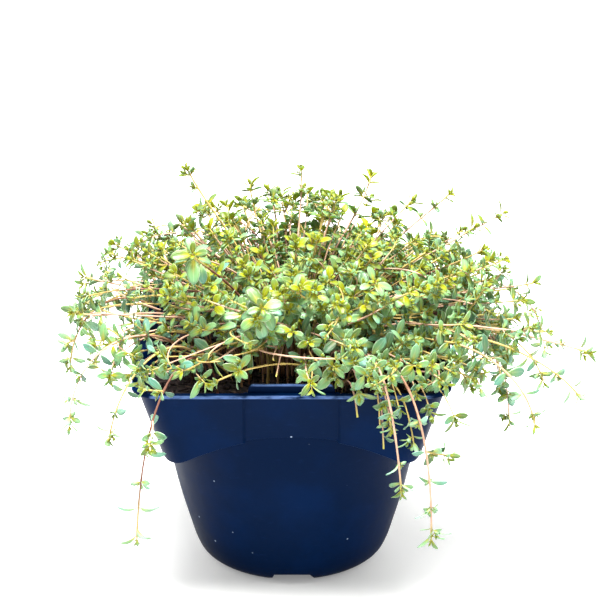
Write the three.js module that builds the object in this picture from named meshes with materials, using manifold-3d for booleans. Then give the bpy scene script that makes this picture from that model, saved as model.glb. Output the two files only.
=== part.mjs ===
// Potted thyme: a square-topped nursery pot, its soil, and leafy stems that dome over
// the rim and trail down its sides.
// Millimetres, +Z up. The origin is on the pot's axis, on the surface that it stands on.
import * as THREE from "three";
import { mergeVertices } from "three/addons/utils/BufferGeometryUtils.js";
import Module from "manifold-3d";

const wasm = await Module();
wasm.setup();

// ---------------------------------------------------------------- driving dimensions

// pot
const RIM_HEIGHT = 97.5;
const WALL = 1.2;
const LIP = { half: 65, thick: 1.4, corner: 11.5 };
const COLLAR = { half: 63, corner: 10, depth: 45, taper: 0.28, archDrop: 23.6 };
const PANEL = { half: 18.75, recess: 1.2 };
const CONE_SPAN = [50, 90];
const BODY_PROFILE = [[36, 0], [39.6, 2.6], [42, 8], [48.7, 31], [53.4, 53], [55.7, 84]];
const AROUND = 32;
const CORNER_STEPS = 4;
const TAB = { half: 17.5, height: 3.5, root: 1, shoulder: 2.5, steps: 3 };
const CHANNEL = { top: 15, bottom: 21, height: 2.3, from: 21, to: 44 };
const DRAIN = { from: 24, to: 30, half: 4.5 };
const QUARTERS = [0, 1, 2, 3].map((quarter) => (quarter * Math.PI) / 2);

// soil
const SOIL = { drop: 11, square: 18, floor: 3.9, fit: 0.35 };
const SOIL_HEIGHT = RIM_HEIGHT - SOIL.drop;
const BUMP = { height: 0.8, alongX: 9, alongY: 11, rings: [95, 45, 22, 0], steps: 12 };

// stems
const FOOT_DEPTH = 5;
const STRAIGHT = 2;
const STEM_CORNER = { foot: 0.95, tip: 0.65 };
const HOLE = { wider: 0.45, deeper: 0.3 };
const BARE_STEP = 11;
const ROOT_REACH = 53;
const FULL_LEAN = THREE.MathUtils.degToRad(92);
const LEAN_BELOW = 22;
const SWAY = 5;
const RISE = { least: 32, share: 0.5, more: 12 };
const GROWTH = { bend: 1.15, reach: 0.4 };
const HANG = { from: 6, over: 22, crest: 31, inward: 3 };

// leaf pairs, from the tip down: how far back on the stem, leaf length, rise in degrees
const PAIRS = [
  { back: 1.8, length: 6, rise: 60 },
  { back: 6.2, length: 9, rise: 46 },
  { back: 13, length: 11.4, rise: 36 },
  { back: 21.2, length: 12.6, rise: 30 },
  { back: 30.4, length: 12.8, rise: 26 },
  { back: 40.2, length: 12.4, rise: 24 },
  { back: 50.8, length: 11.6, rise: 22 },
];
const HEEL = 1.3;
const LEAF = { width: 0.7, widest: 0.44, thick: 0.85, droop: 0.1, twist: 0.9, lightOut: 0.9 };
const LEAF_SIZES = [0.92, 1.08];
const TRIES = [[0, 1], [16, 1], [-14, 1], [0, 0.8], [24, 0.8], [-20, 0.7], [34, 0.65]];
const SPREAD = { start: 0.08, step: 0.115, across: 1.3 };
const CLEAR = 2.1;
const STEM_CLEAR = 2.6;
const AT_ROOT = 2.9;
const POT_CLEAR = 1.3;

// the bush: how far it reaches on each side of the axis, over the rim and below it
const DOME = { x: 90, y: 86, height: 52, hang: 92, tips: 90, lowest: 116, pastLip: 13 };
const SCATTER = { dome: [0.93, 1.07], hanging: [1, 1.07] };
const FRONT_CLEAR = 10;
const SPACING = { inner: 20, outer: 33, radius: 66 };
const TIP_SEED = 11;
const FIRST_SEED = 100;
const GOLDEN_ANGLE = Math.PI * (3 - Math.sqrt(5));

// shoots that stand out of the bush: where each tip is, with its height over the rim
const SHOOTS = [
  // upright, along the top
  [-44, 10, 71], [-18, 30, 57], [4, 30, 64], [19, 12, 57], [34, 35, 59], [51, 28, 50],
  [67, 18, 57], [76, -4, 50], [90, 26, 45], [88, -18, 41],
  // out to the right
  [95, -26, 26], [105, -40, 18], [124, -25, 2], [117, -52, -6], [98, -68, -12],
  // hanging at the front right and front left corners
  [56, -89, -53], [44, -86, -34], [-62, -89, -53], [-73, -78, -14], [-90, -61, -16],
  // out to the left
  [-80, -46, 14], [-91, -20, 18], [-88, 3, 25], [-76, 16, 35],
  // low over the front of the rim
  [8, -79, 12], [-21, -74, 15], [31, -75, 13], [50, -72, 16], [67, -58, 12], [-44, -69, 13],
  // heads on the front of the dome
  [-42, -32, 49], [-13, -58, 36], [34, -48, 43], [60, -40, 36],
];

// stems whose tips are this high over the rim are young and yellower
const YOUNG_HEIGHT = 32;
const COLOURS = { pot: 0x062252, soil: 0x1d1613, young: 0x9fb348, mature: 0x5f8a52 };
const ROUGHNESS = { pot: 0.4, soil: 0.95, leaf: 0.7 };

// ---------------------------------------------------------------- small helpers

const UP = new THREE.Vector3(0, 0, 1);
const point = (x, y, z) => new THREE.Vector3(x, y, z);
const radians = THREE.MathUtils.degToRad;
const along = (start, direction, amount) => start.clone().addScaledVector(direction, amount);

function seededDraw(seed) {
  let state = seed;
  return () => {
    state = (state + 0x6d2b79f5) | 0;
    let mixed = Math.imul(state ^ (state >>> 15), 1 | state);
    mixed = (mixed + Math.imul(mixed ^ (mixed >>> 7), 61 | mixed)) ^ mixed;
    return ((mixed ^ (mixed >>> 14)) >>> 0) / 4294967296;
  };
}

function solid(geometry) {
  const bare = geometry.clone();
  bare.deleteAttribute("normal");
  bare.deleteAttribute("uv");
  const merged = mergeVertices(bare, 1e-4);
  return new wasm.Manifold(new wasm.Mesh({
    numProp: 3,
    vertProperties: new Float32Array(merged.attributes.position.array),
    triVerts: new Uint32Array(merged.index.array),
  }));
}

function geometryOf(manifold) {
  const mesh = manifold.getMesh();
  const geometry = new THREE.BufferGeometry();
  geometry.setAttribute("position", new THREE.BufferAttribute(mesh.vertProperties, 3));
  geometry.setIndex(new THREE.BufferAttribute(mesh.triVerts, 1));
  geometry.computeVertexNormals();
  return geometry;
}

function indexedGeometry(points, faces) {
  const geometry = new THREE.BufferGeometry().setFromPoints(points);
  geometry.setIndex(faces);
  geometry.computeVertexNormals();
  return geometry;
}

// a closed skin over outlines with the same number of points, the lowest outline first
function skin(outlines) {
  const count = outlines[0].length;
  const last = count * (outlines.length - 1);
  const faces = [];
  for (let start = 0; start < last; start += count) {
    for (let i = 0; i < count; i++) {
      const a = start + i;
      const b = start + ((i + 1) % count);
      faces.push(a, b, b + count, a, b + count, a + count);
    }
  }
  const flat = outlines[0].map((corner) => new THREE.Vector2(corner.x, corner.y));
  for (const [a, b, c] of THREE.ShapeUtils.triangulateShape(flat, [])) {
    faces.push(a, c, b, last + a, last + b, last + c);
  }
  return indexedGeometry(outlines.flat(), faces);
}

// a turned solid, from a profile of [radius, height]
function turned(profile, steps = AROUND) {
  const points = profile.map(([radius, height]) => new THREE.Vector2(radius, height));
  return new THREE.LatheGeometry(points, steps).rotateX(Math.PI / 2);
}

const atQuarters = (geometry) => QUARTERS.map((turn) => solid(geometry.clone().rotateZ(turn)));

// ---------------------------------------------------------------- pot

// a square with round corners, and a shallow recess along the middle of each side
function squareOutline(half, corner, recess, height) {
  const side = [];
  if (recess > 0) {
    side.push([half, -PANEL.half - recess], [half - recess, -PANEL.half]);
    side.push([half - recess, PANEL.half], [half, PANEL.half + recess]);
  }
  for (let i = 0; i <= CORNER_STEPS; i++) {
    const angle = (Math.PI / 2) * (i / CORNER_STEPS);
    side.push([half - corner + corner * Math.cos(angle), half - corner + corner * Math.sin(angle)]);
  }
  return QUARTERS.flatMap((turn) => side.map(([x, y]) => point(x, y, height).applyAxisAngle(UP, turn)));
}

// the collar tapers down from the rim, and a cone cuts its lower edge to an arch on each side
function collar(inset, over) {
  const outline = (above) => squareOutline(
    COLLAR.half - inset + COLLAR.taper * above, COLLAR.corner - inset, PANEL.recess, RIM_HEIGHT + above,
  );
  const sides = skin([outline(-COLLAR.depth), outline(over)]);
  const archHalf = COLLAR.half - COLLAR.taper * COLLAR.archDrop;
  const archHeight = RIM_HEIGHT - COLLAR.archDrop + inset * Math.SQRT2;
  const [inner, outer] = CONE_SPAN;
  const coneHeight = (radius) => archHeight + archHalf - radius;
  const cone = turned([
    [inner, 0], [outer, 0], [outer, coneHeight(outer)], [inner, coneHeight(inner)], [inner, 0],
  ]);
  return solid(sides).subtract(solid(cone));
}

function roundBody(inset, floor) {
  const [, ...wall] = BODY_PROFILE.map(([radius, height]) => [radius - inset, height]);
  const foot = [BODY_PROFILE[0][0] - inset, floor];
  const above = wall.filter(([, height]) => height > floor);
  return solid(turned([[0, floor], foot, ...above, [0, wall.at(-1)[1]]]));
}

const cup = (inset, floor, over) => collar(inset, over).add(roundBody(inset, floor));

function lip() {
  const outline = (height) => squareOutline(LIP.half, LIP.corner, 0, height);
  return solid(skin([outline(RIM_HEIGHT - LIP.thick), outline(RIM_HEIGHT)]));
}

// a low tab with round shoulders stands on the lip's inner edge, at the front and the back
function tabs() {
  const top = TAB.height - TAB.shoulder;
  const shape = new THREE.Shape();
  shape.moveTo(-TAB.half, -TAB.root);
  shape.lineTo(TAB.half, -TAB.root);
  shape.absarc(TAB.half - TAB.shoulder, top, TAB.shoulder, 0, Math.PI / 2);
  shape.absarc(TAB.shoulder - TAB.half, top, TAB.shoulder, Math.PI / 2, Math.PI);
  const options = { depth: WALL, bevelEnabled: false, curveSegments: TAB.steps };
  const plate = new THREE.ExtrudeGeometry(shape, options).rotateX(Math.PI / 2);
  plate.translate(0, COLLAR.half - PANEL.recess, RIM_HEIGHT);
  return [solid(plate.clone()), solid(plate.rotateZ(Math.PI))];
}

// channels under the floor run out to the notches in the foot
function channels(extra) {
  const low = CHANNEL.bottom / 2 + extra;
  const high = CHANNEL.top / 2 + extra;
  const height = CHANNEL.height + extra;
  const section = new THREE.Shape();
  section.moveTo(-low, -WALL);
  section.lineTo(low, -WALL);
  section.lineTo(low, 0);
  section.lineTo(high, height);
  section.lineTo(-high, height);
  section.lineTo(-low, 0);
  const options = { depth: CHANNEL.to - CHANNEL.from + extra, bevelEnabled: false };
  const channel = new THREE.ExtrudeGeometry(section, options).rotateX(Math.PI / 2);
  return atQuarters(channel.translate(0, CHANNEL.to, 0));
}

function drains() {
  const hole = new THREE.BoxGeometry(2 * DRAIN.half, DRAIN.to - DRAIN.from, 2 * SOIL.floor);
  return atQuarters(hole.translate(0, (DRAIN.from + DRAIN.to) / 2, 0));
}

function potSolid() {
  const outside = cup(0, 0, 0);
  const covers = wasm.Manifold.union(channels(WALL)).intersect(outside);
  const cavity = cup(WALL, WALL, WALL).subtract(covers);
  const cuts = wasm.Manifold.union([...channels(0), ...drains()]);
  const cut = outside.add(lip()).subtract(cavity).subtract(cuts);
  return wasm.Manifold.union([cut, ...tabs()]);
}

// ---------------------------------------------------------------- where the stems go

// how far a tip leans away from upright, seen from below the middle of the rim
const leanOf = (tip) => Math.atan2(Math.hypot(tip.x, tip.y), tip.z - RIM_HEIGHT + LEAN_BELOW);

function domeTip(number) {
  const lowest = Math.cos(radians(DOME.lowest));
  const up = 1 - ((number + 0.5) / DOME.tips) * (1 - lowest);
  const out = up > 0 ? Math.sqrt(1 - up * up) : 1;
  const azimuth = number * GOLDEN_ANGLE;
  const height = up * (up > 0 ? DOME.height : DOME.hang);
  const tip = point(DOME.x * out * Math.cos(azimuth), DOME.y * out * Math.sin(azimuth), height);
  return up > 0 ? tip : pastLip(tip);
}

// a hanging tip lies far enough out to fall clear of the square lip
function pastLip(tip) {
  const square = Math.max(Math.abs(tip.x), Math.abs(tip.y));
  const share = Math.max(1, (LIP.half + DOME.pastLip) / square);
  return point(tip.x * share, tip.y * share, tip.z);
}

// the pot shows between its two front corners, so no stem of the rule hangs there
const hidesFront = ({ x, y, z }) => z < FRONT_CLEAR && y < 0 && Math.abs(x) < -y;

function allTips() {
  const tips = SHOOTS.map(([x, y, height]) => point(x, y, height));
  const draw = seededDraw(TIP_SEED);
  for (let number = 0; number < DOME.tips; number++) {
    const tip = domeTip(number);
    tip.multiplyScalar(THREE.MathUtils.lerp(...(tip.z > 0 ? SCATTER.dome : SCATTER.hanging), draw()));
    const spacing = Math.hypot(tip.x, tip.y) < SPACING.radius ? SPACING.inner : SPACING.outer;
    const crowded = tips.some((other) => other.distanceTo(tip) < spacing);
    if (!crowded && !hidesFront(tip)) tips.push(tip);
  }
  return tips.map((tip) => tip.add(point(0, 0, RIM_HEIGHT)));
}

// an arch leaves the ground upright; a shoot ends growing up and out, a hanging one falls
function archTo(tip, ground, out, lean) {
  const height = tip.z - RIM_HEIGHT;
  const first = along(ground, UP, Math.max(RISE.least, RISE.share * height + RISE.more));
  const growth = Math.PI / 2 - GROWTH.bend * lean;
  const heading = along(out.clone().multiplyScalar(Math.cos(growth)), UP, Math.sin(growth));
  const domed = along(tip, heading, -GROWTH.reach * ground.distanceTo(tip));
  const hanging = along(point(tip.x, tip.y, RIM_HEIGHT + HANG.crest), out, -HANG.inward);
  const hang = THREE.MathUtils.clamp((HANG.from - height) / HANG.over, 0, 1);
  return new THREE.CubicBezierCurve3(ground, first, domed.lerp(hanging, hang), tip);
}

// a stem stands straight in its hole, then arches out to its tip with a sway to the side
function planStem(tip, number) {
  const draw = seededDraw(FIRST_SEED + number);
  const lean = leanOf(tip);
  const out = point(tip.x, tip.y, 0).normalize();
  const across = point(-out.y, out.x, 0);
  const rootRadius = ROOT_REACH * Math.min(1, lean / FULL_LEAN);
  const foot = along(point(0, 0, SOIL_HEIGHT - FOOT_DEPTH), out, rootRadius);
  const arch = archTo(tip, along(foot, UP, FOOT_DEPTH + STRAIGHT), out, lean);
  const sway = SWAY * (2 * draw() - 1);
  arch.v1.addScaledVector(across, sway);
  arch.v2.addScaledVector(across, -sway);
  const length = FOOT_DEPTH + STRAIGHT + arch.getLength();
  const turn = Math.PI * draw();
  const size = THREE.MathUtils.lerp(...LEAF_SIZES, draw());
  return { number, tip, foot, arch, length, across, out, turn, size, pairs: [] };
}

// the place and the three directions of a stem, so far back from its tip
function sectionAt(stem, back) {
  const archLength = stem.arch.getLength();
  const share = Math.max(0, 1 - back / archLength);
  const straight = back > archLength;
  const centre = straight ? along(stem.foot, UP, stem.length - back) : stem.arch.getPointAt(share);
  const tangent = straight ? UP.clone() : stem.arch.getTangentAt(share);
  const side = along(stem.across, tangent, -stem.across.dot(tangent)).normalize();
  const radius = THREE.MathUtils.lerp(STEM_CORNER.tip, STEM_CORNER.foot, back / stem.length);
  return { centre, tangent, side, over: tangent.clone().cross(side), radius };
}

function outward(section, angle) {
  return along(section.side.clone().multiplyScalar(Math.cos(angle)), section.over, Math.sin(angle));
}

// the four corners of a stem, which is square as thyme's is
function corners(section, turn, wider = 0) {
  return QUARTERS.map((quarter) => {
    const angle = turn + quarter - Math.PI / 4;
    return along(section.centre, outward(section, angle), section.radius + wider);
  });
}

// ---------------------------------------------------------------- keeping clear

// places that are taken, in a grid of cells as wide as the widest clearance
const cellOf = (value) => Math.floor(value / STEM_CLEAR);
const cellKey = (x, y, z) => `${x} ${y} ${z}`;
const taken = new Map();
const STEPS = [-1, 0, 1];
const AROUND_CELL = STEPS.flatMap((dx) => STEPS.flatMap((dy) => STEPS.map((dz) => [dx, dy, dz])));

function take(place, owner) {
  const key = cellKey(cellOf(place.x), cellOf(place.y), cellOf(place.z));
  if (!taken.has(key)) taken.set(key, []);
  taken.get(key).push({ place, owner });
}

function near(place, limit) {
  const found = [];
  const [x, y, z] = [place.x, place.y, place.z].map(cellOf);
  for (const [dx, dy, dz] of AROUND_CELL) {
    found.push(...(taken.get(cellKey(x + dx, y + dy, z + dz)) ?? []));
  }
  return found.filter((other) => other.place.distanceTo(place) < limit);
}

function clearOfPot({ x, y, z }) {
  const square = Math.max(Math.abs(x), Math.abs(y));
  const top = Math.abs(x) < TAB.half + POT_CLEAR ? RIM_HEIGHT + TAB.height : RIM_HEIGHT;
  if (z > top + POT_CLEAR) return true;
  const outside = z > RIM_HEIGHT - LIP.thick - POT_CLEAR ? LIP.half : COLLAR.half;
  if (square > outside + POT_CLEAR) return true;
  const inside = COLLAR.half - COLLAR.taper * (RIM_HEIGHT - SOIL_HEIGHT) - PANEL.recess - WALL;
  return z > SOIL_HEIGHT + BUMP.height + POT_CLEAR && square < inside - POT_CLEAR;
}

// points spread over a leaf, close enough that no other blade passes between them
function leafPoints(leaf) {
  const points = [];
  for (let share = SPREAD.start; share <= 1; share += SPREAD.step) {
    const spread = share < LEAF.widest ? share / LEAF.widest : (1 - share) / (1 - LEAF.widest);
    const half = spread * leaf.half;
    const count = Math.ceil(half / SPREAD.across);
    const droop = Math.max(0, (share - LEAF.widest) / (1 - LEAF.widest)) * LEAF.droop * leaf.length;
    const middle = along(along(leaf.root, leaf.axis, share * leaf.length), leaf.face, -droop);
    for (let i = -count; i <= count; i++) {
      points.push(along(middle, leaf.width, count ? (i / count) * half : 0));
    }
  }
  return points;
}

function fits(points, leaf, owner) {
  return points.every((place) => clearOfPot(place) && near(place, CLEAR).every((other) => (
    other.owner === owner && other.place.distanceTo(leaf.root) < AT_ROOT
  )));
}

// ---------------------------------------------------------------- leaves

// a leaf grows from one side of the stem, rises towards the tip and turns its face to the light
function planLeaf(stem, pair, section, angle, [extraRise, scale]) {
  const away = outward(section, angle);
  const rise = radians(pair.rise + extraRise);
  const axis = along(away.clone().multiplyScalar(Math.cos(rise)), section.tangent, Math.sin(rise));
  const upright = along(section.tangent.clone().multiplyScalar(Math.cos(rise)), away, -Math.sin(rise));
  const light = along(UP, stem.out, LEAF.lightOut);
  const towards = Math.atan2(upright.clone().cross(light).dot(axis), upright.dot(light));
  const most = LEAF.twist * Math.cos(rise) ** 2;
  const face = upright.applyAxisAngle(axis, THREE.MathUtils.clamp(towards, -most, most));
  const length = pair.length * stem.size * scale;
  const root = along(section.centre, away, section.radius * Math.SQRT1_2);
  return { root, axis, face, width: face.clone().cross(axis), length, half: (length * LEAF.width) / 2 };
}

function growLeaf(stem, pair, section, angle) {
  for (const attempt of TRIES) {
    const leaf = planLeaf(stem, pair, section, angle, attempt);
    const points = leafPoints(leaf);
    if (fits(points, leaf, stem.number)) {
      points.forEach((place) => take(place, stem.number));
      return leaf;
    }
  }
  return null;
}

// a stem whose course would meet one that stands already is left out
function plantStems() {
  const stems = [];
  for (const tip of allTips()) {
    const stem = planStem(tip, stems.length);
    const places = [];
    for (let back = 0; back <= stem.length; back += 1) {
      places.push(sectionAt(stem, back).centre);
    }
    if (places.every((place) => near(place, STEM_CLEAR).length === 0)) {
      places.forEach((place) => take(place, stem.number));
      stems.push(stem);
    }
  }
  return stems;
}

// the pairs nearest the tips are placed first on every stem, so that gaps fall inside the bush
function growAllLeaves(stems) {
  PAIRS.forEach((pair, level) => {
    for (const stem of stems) {
      const section = sectionAt(stem, pair.back);
      const sides = [level % 2, (level % 2) + 2];
      const leaves = sides.map((side) => growLeaf(stem, pair, section, stem.turn + QUARTERS[side]));
      stem.pairs[level] = { ...pair, sides, leaves };
    }
  });
}

// ---------------------------------------------------------------- one solid for each leafy stem

// the four corners of one side of the stem open out to the leaf's edges and ridge, then its tip
function addLeaf(points, faces, [q0, q1, q2, q3], leaf) {
  const middle = along(leaf.root, leaf.axis, leaf.length * LEAF.widest);
  const left = points.push(along(middle, leaf.width, -leaf.half)) - 1;
  const right = points.push(along(middle, leaf.width, leaf.half)) - 1;
  const ridge = points.push(along(middle, leaf.face, LEAF.thick)) - 1;
  const end = along(leaf.root, leaf.axis, leaf.length);
  const tip = points.push(along(end, leaf.face, -LEAF.droop * leaf.length)) - 1;
  faces.push(q0, q1, right, q0, right, left, q1, q2, right, q2, q3, ridge);
  faces.push(q2, ridge, right, q3, left, ridge, q3, q0, left);
  faces.push(left, right, tip, right, ridge, tip, ridge, left, tip);
}

function stemRings(stem) {
  const rings = [];
  const last = PAIRS.at(-1).back + HEEL / 2;
  const ground = stem.length - FOOT_DEPTH - STRAIGHT;
  const steps = Math.ceil((ground - last) / BARE_STEP);
  rings.push({ back: stem.length });
  for (let i = 0; i < steps; i++) {
    rings.push({ back: THREE.MathUtils.lerp(ground, last, i / steps) });
  }
  for (const pair of [...stem.pairs].reverse()) {
    rings.push({ back: pair.back + HEEL / 2, pair }, { back: pair.back - HEEL / 2 });
  }
  return rings;
}

function stemGeometry(stem) {
  const points = [];
  const faces = [];
  const rings = stemRings(stem);
  for (const { back } of rings) {
    points.push(...corners(sectionAt(stem, back), stem.turn));
  }
  rings.slice(0, -1).forEach(({ pair }, level) => {
    for (let side = 0; side < 4; side++) {
      const a = level * 4 + side;
      const b = level * 4 + ((side + 1) % 4);
      const leaf = pair?.leaves[pair.sides.indexOf(side)];
      if (leaf) addLeaf(points, faces, [a, b, b + 4, a + 4], leaf);
      else faces.push(a, b, b + 4, a, b + 4, a + 4);
    }
  });
  const top = (rings.length - 1) * 4;
  const bud = points.push(sectionAt(stem, 0).centre) - 1;
  faces.push(0, 3, 2, 0, 2, 1);
  for (let side = 0; side < 4; side++) {
    faces.push(top + side, top + ((side + 1) % 4), bud);
  }
  return indexedGeometry(points, faces);
}

// ---------------------------------------------------------------- soil

// everything below the soil's top, which is a little uneven
function belowSoilTop() {
  const top = BUMP.rings.map((radius) => [radius, SOIL_HEIGHT]);
  const geometry = turned([[0, 0], [BUMP.rings[0], 0], ...top], BUMP.steps);
  const place = geometry.attributes.position;
  for (let i = 0; i < place.count; i++) {
    const wave = Math.sin(place.getX(i) / BUMP.alongX) * Math.cos(place.getY(i) / BUMP.alongY);
    if (place.getZ(i) > SOIL.floor) place.setZ(i, SOIL_HEIGHT + BUMP.height * wave);
  }
  return solid(geometry);
}

// the plug fills the round body, and widens to the square collar near its top
function soilPlug() {
  const inset = WALL + SOIL.fit;
  const [foot, , low, , high, top] = BODY_PROFILE.map(([radius, height]) => [radius - inset, height]);
  const core = turned([[0, SOIL.floor], [foot[0], SOIL.floor], low, high, top, [0, top[1]]]);
  const outline = (below) => squareOutline(
    COLLAR.half - PANEL.recess - inset - COLLAR.taper * below, COLLAR.corner, 0, RIM_HEIGHT - below,
  );
  return solid(core).add(solid(skin([outline(SOIL.square), outline(SOIL.drop / 2)])));
}

function soilSolid(stems) {
  const holes = stems.map((stem) => {
    const foot = sectionAt(stem, stem.length);
    const outline = (height) => corners(foot, stem.turn, HOLE.wider).map((corner) => corner.setZ(height));
    return solid(skin([outline(foot.centre.z - HOLE.deeper), outline(RIM_HEIGHT)]));
  });
  return soilPlug().intersect(belowSoilTop()).subtract(wasm.Manifold.union(holes));
}

// ---------------------------------------------------------------- the object

const finish = (color, roughness) => new THREE.MeshStandardMaterial({ color, roughness, metalness: 0 });

function named(name, geometry, material) {
  const mesh = new THREE.Mesh(geometry, material);
  mesh.name = name;
  return mesh;
}

const stems = plantStems();
growAllLeaves(stems);

const thyme = new THREE.Group();
thyme.add(named("pot", geometryOf(potSolid()), finish(COLOURS.pot, ROUGHNESS.pot)));
thyme.add(named("soil", geometryOf(soilSolid(stems)), finish(COLOURS.soil, ROUGHNESS.soil)));
for (const stem of stems) {
  const colour = stem.tip.z > RIM_HEIGHT + YOUNG_HEIGHT ? COLOURS.young : COLOURS.mature;
  const name = `thyme_stem_${String(stem.number + 1).padStart(2, "0")}`;
  thyme.add(named(name, stemGeometry(stem), finish(colour, ROUGHNESS.leaf)));
}

export default thyme;
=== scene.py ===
# %% [markdown]
# # Potted thyme
# A thyme bush in a nursery pot, dressed in Blender around its packed construction model.
# The construction model holds the true sizes: the pot, the soil and one solid for each of the
# leafy stems. Here each of these solids is replaced by a finer piece that follows the same
# form, and the bush is filled up with many thinner sprigs. All lengths below are in
# millimetres, and one factor turns them into Blender's metres.

# %% The frame
from collections import namedtuple
from math import atan2, cos, hypot, pi, radians, sin, sqrt

import bmesh
import bpy
import numpy as np
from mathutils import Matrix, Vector


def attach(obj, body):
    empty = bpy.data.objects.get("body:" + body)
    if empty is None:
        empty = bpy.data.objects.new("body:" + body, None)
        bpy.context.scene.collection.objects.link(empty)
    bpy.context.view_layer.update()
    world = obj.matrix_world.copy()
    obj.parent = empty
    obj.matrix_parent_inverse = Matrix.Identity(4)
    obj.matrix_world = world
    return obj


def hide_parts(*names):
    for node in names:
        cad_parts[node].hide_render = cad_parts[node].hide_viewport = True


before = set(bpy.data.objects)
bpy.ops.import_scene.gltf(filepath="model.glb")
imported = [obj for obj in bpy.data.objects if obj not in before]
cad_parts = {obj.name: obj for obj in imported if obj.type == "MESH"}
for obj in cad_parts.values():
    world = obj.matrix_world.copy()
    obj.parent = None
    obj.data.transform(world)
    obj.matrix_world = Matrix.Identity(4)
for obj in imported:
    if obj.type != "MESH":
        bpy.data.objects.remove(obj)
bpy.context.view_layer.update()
MM = 0.001

# %% [markdown]
# ## Small helpers
# Everything is worked out with numpy, because a bush has thousands of leaves and a Python
# loop over their corners would be slow. `unit` makes directions one long, `dots` is the dot
# product of two lists of vectors, row by row, and `swung` and `spun` turn directions and points.

# %% Helpers for vectors
UP = np.array([0.0, 0.0, 1.0])


def unit(vectors):
    return vectors / np.linalg.norm(vectors, axis=-1, keepdims=True)


def dots(a, b):
    return np.sum(a * b, axis=-1, keepdims=True)


def lerp(a, b, share):
    return a + (b - a) * share


def swung(first, second, angles):
    """directions that lie at these angles from the first towards the second"""
    return first * np.cos(angles)[:, None] + second * np.sin(angles)[:, None]


def spun(points, turn):
    """points turned about the pot's axis"""
    spin = [[cos(turn), sin(turn), 0], [-sin(turn), cos(turn), 0], [0, 0, 1]]
    return points @ np.array(spin)

# %% [markdown]
# A material is a small tree of nodes. One function adds a node with its settings and links,
# and a few short ones stand for the nodes that come back most, so each material below reads
# as a list of what it is made from. They find the tree through the output that they are
# given. Colours are written as hex values, the way a paint chart gives them, and `paint`
# turns them to the linear light that Blender works in.

# %% Helpers for materials
def add(tree, kind, inputs=None, **settings):
    """adds a node; inputs holds a value or another node's output for each named socket"""
    made = tree.nodes.new("ShaderNode" + kind)
    for name, value in settings.items():
        setattr(made, name, value)
    for name, value in (inputs or {}).items():
        if isinstance(value, bpy.types.NodeSocket):
            tree.links.new(value, made.inputs[name])
        else:
            made.inputs[name].default_value = value
    return made


def paint(hex_value):
    """an sRGB hex colour as linear red, green, blue and a full alpha"""
    channels = [(hex_value >> shift & 255) / 255 for shift in (16, 8, 0)]
    linear = [c / 12.92 if c <= 0.04045 else ((c + 0.055) / 1.055) ** 2.4 for c in channels]
    return (*linear, 1.0)


def new_material(name):
    """an empty material, its tree, and the place on the piece"""
    material = bpy.data.materials.new(name)
    material.use_nodes = True
    tree = material.node_tree
    tree.nodes.clear()
    return material, tree, add(tree, "TexCoord").outputs["Object"]


def maths(operation, first, second=0.0):
    inputs = {0: first, 1: second}
    return add(first.id_data, "Math", inputs, operation=operation).outputs[0]


def times(first, second):
    return maths("MULTIPLY", first, second)


def plus(first, second):
    return maths("ADD", first, second)


def ramp(share, low, high):
    """share rescaled smoothly, so that it is 0 at low and 1 at high"""
    inputs = {"Value": share, "From Min": low, "From Max": high}
    kind = "SMOOTHSTEP"
    return add(share.id_data, "MapRange", inputs, interpolation_type=kind).outputs["Result"]


def blended(share, first, second):
    """the colour output of a mix of two colours"""
    return add(share.id_data, "Mix", {0: share, 6: first, 7: second}, data_type="RGBA").outputs[2]


def layered(colour, *layers):
    """a colour with paints laid over it, each by a share of its own"""
    for share, hex_value in layers:
        colour = blended(share, colour, paint(hex_value))
    return colour


def split(vector):
    """a vector's three numbers"""
    return add(vector.id_data, "SeparateXYZ", {0: vector}).outputs


def noise(place, grain, detail):
    """clouds of noise that are that many millimetres across"""
    inputs = {"Vector": place, "Scale": 1 / (grain * MM), "Detail": detail}
    return add(place.id_data, "TexNoise", inputs).outputs["Fac"]


def cells(place, grain):
    """cells of noise that lie that many millimetres apart"""
    return add(place.id_data, "TexVoronoi", {"Vector": place, "Scale": 1 / (grain * MM)}).outputs


def surface(colour, roughness, specular, height, strength, depth, **more):
    """a Principled shader with a fine relief that many millimetres deep"""
    tree = height.id_data
    inputs = {"Height": height, "Strength": strength, "Distance": depth * MM}
    normal = add(tree, "Bump", inputs).outputs["Normal"]
    return add(tree, "BsdfPrincipled", {
        "Base Color": colour, "Roughness": roughness, "Specular IOR Level": specular,
        "Normal": normal, **more,
    }).outputs[0]


def finished(material, shader):
    add(material.node_tree, "OutputMaterial", {"Surface": shader})
    return material


# %% Helpers for meshes and places
def new_mesh(name, points, faces):
    """a mesh from points in millimetres"""
    mesh = bpy.data.meshes.new(name)
    mesh.from_pydata((points * MM).tolist(), [], faces)
    return mesh


def placed(name, data):
    """an object of that name, shown in the scene"""
    made = bpy.data.objects.new(name, data)
    bpy.context.scene.collection.objects.link(made)
    return made


def aim(thing, place, target):
    """stands a camera or a lamp at a place, and turns it to its target"""
    thing.location = place * MM
    thing.rotation_euler = Vector(target - place).to_track_quat("-Z", "Y").to_euler()


def new_piece(name, points, faces, materials, slot, replaced=()):
    """a piece from points in millimetres; it rides on the one body that a plant has"""
    mesh = new_mesh(name, points, faces)
    mesh.polygons.foreach_set("use_smooth", np.ones(len(mesh.polygons), bool))
    for material in materials:
        mesh.materials.append(material)
    piece = placed(name, mesh)
    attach(piece, "root")
    if replaced:
        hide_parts(*replaced)
    return piece

# %% [markdown]
# ## The camera
# The photograph looks down on the pot by 22 degrees, straight from the front. The pot's sides
# barely narrow towards the back, so the lens was long and stood far off.

# %% Camera
CAMERA_PLACE = np.array([3.4, -1167.5, 584.7])
CAMERA_TARGET = np.array([3.4, 5.4, 110.8])
LENS, SENSOR = 180.0, 36.0

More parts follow.
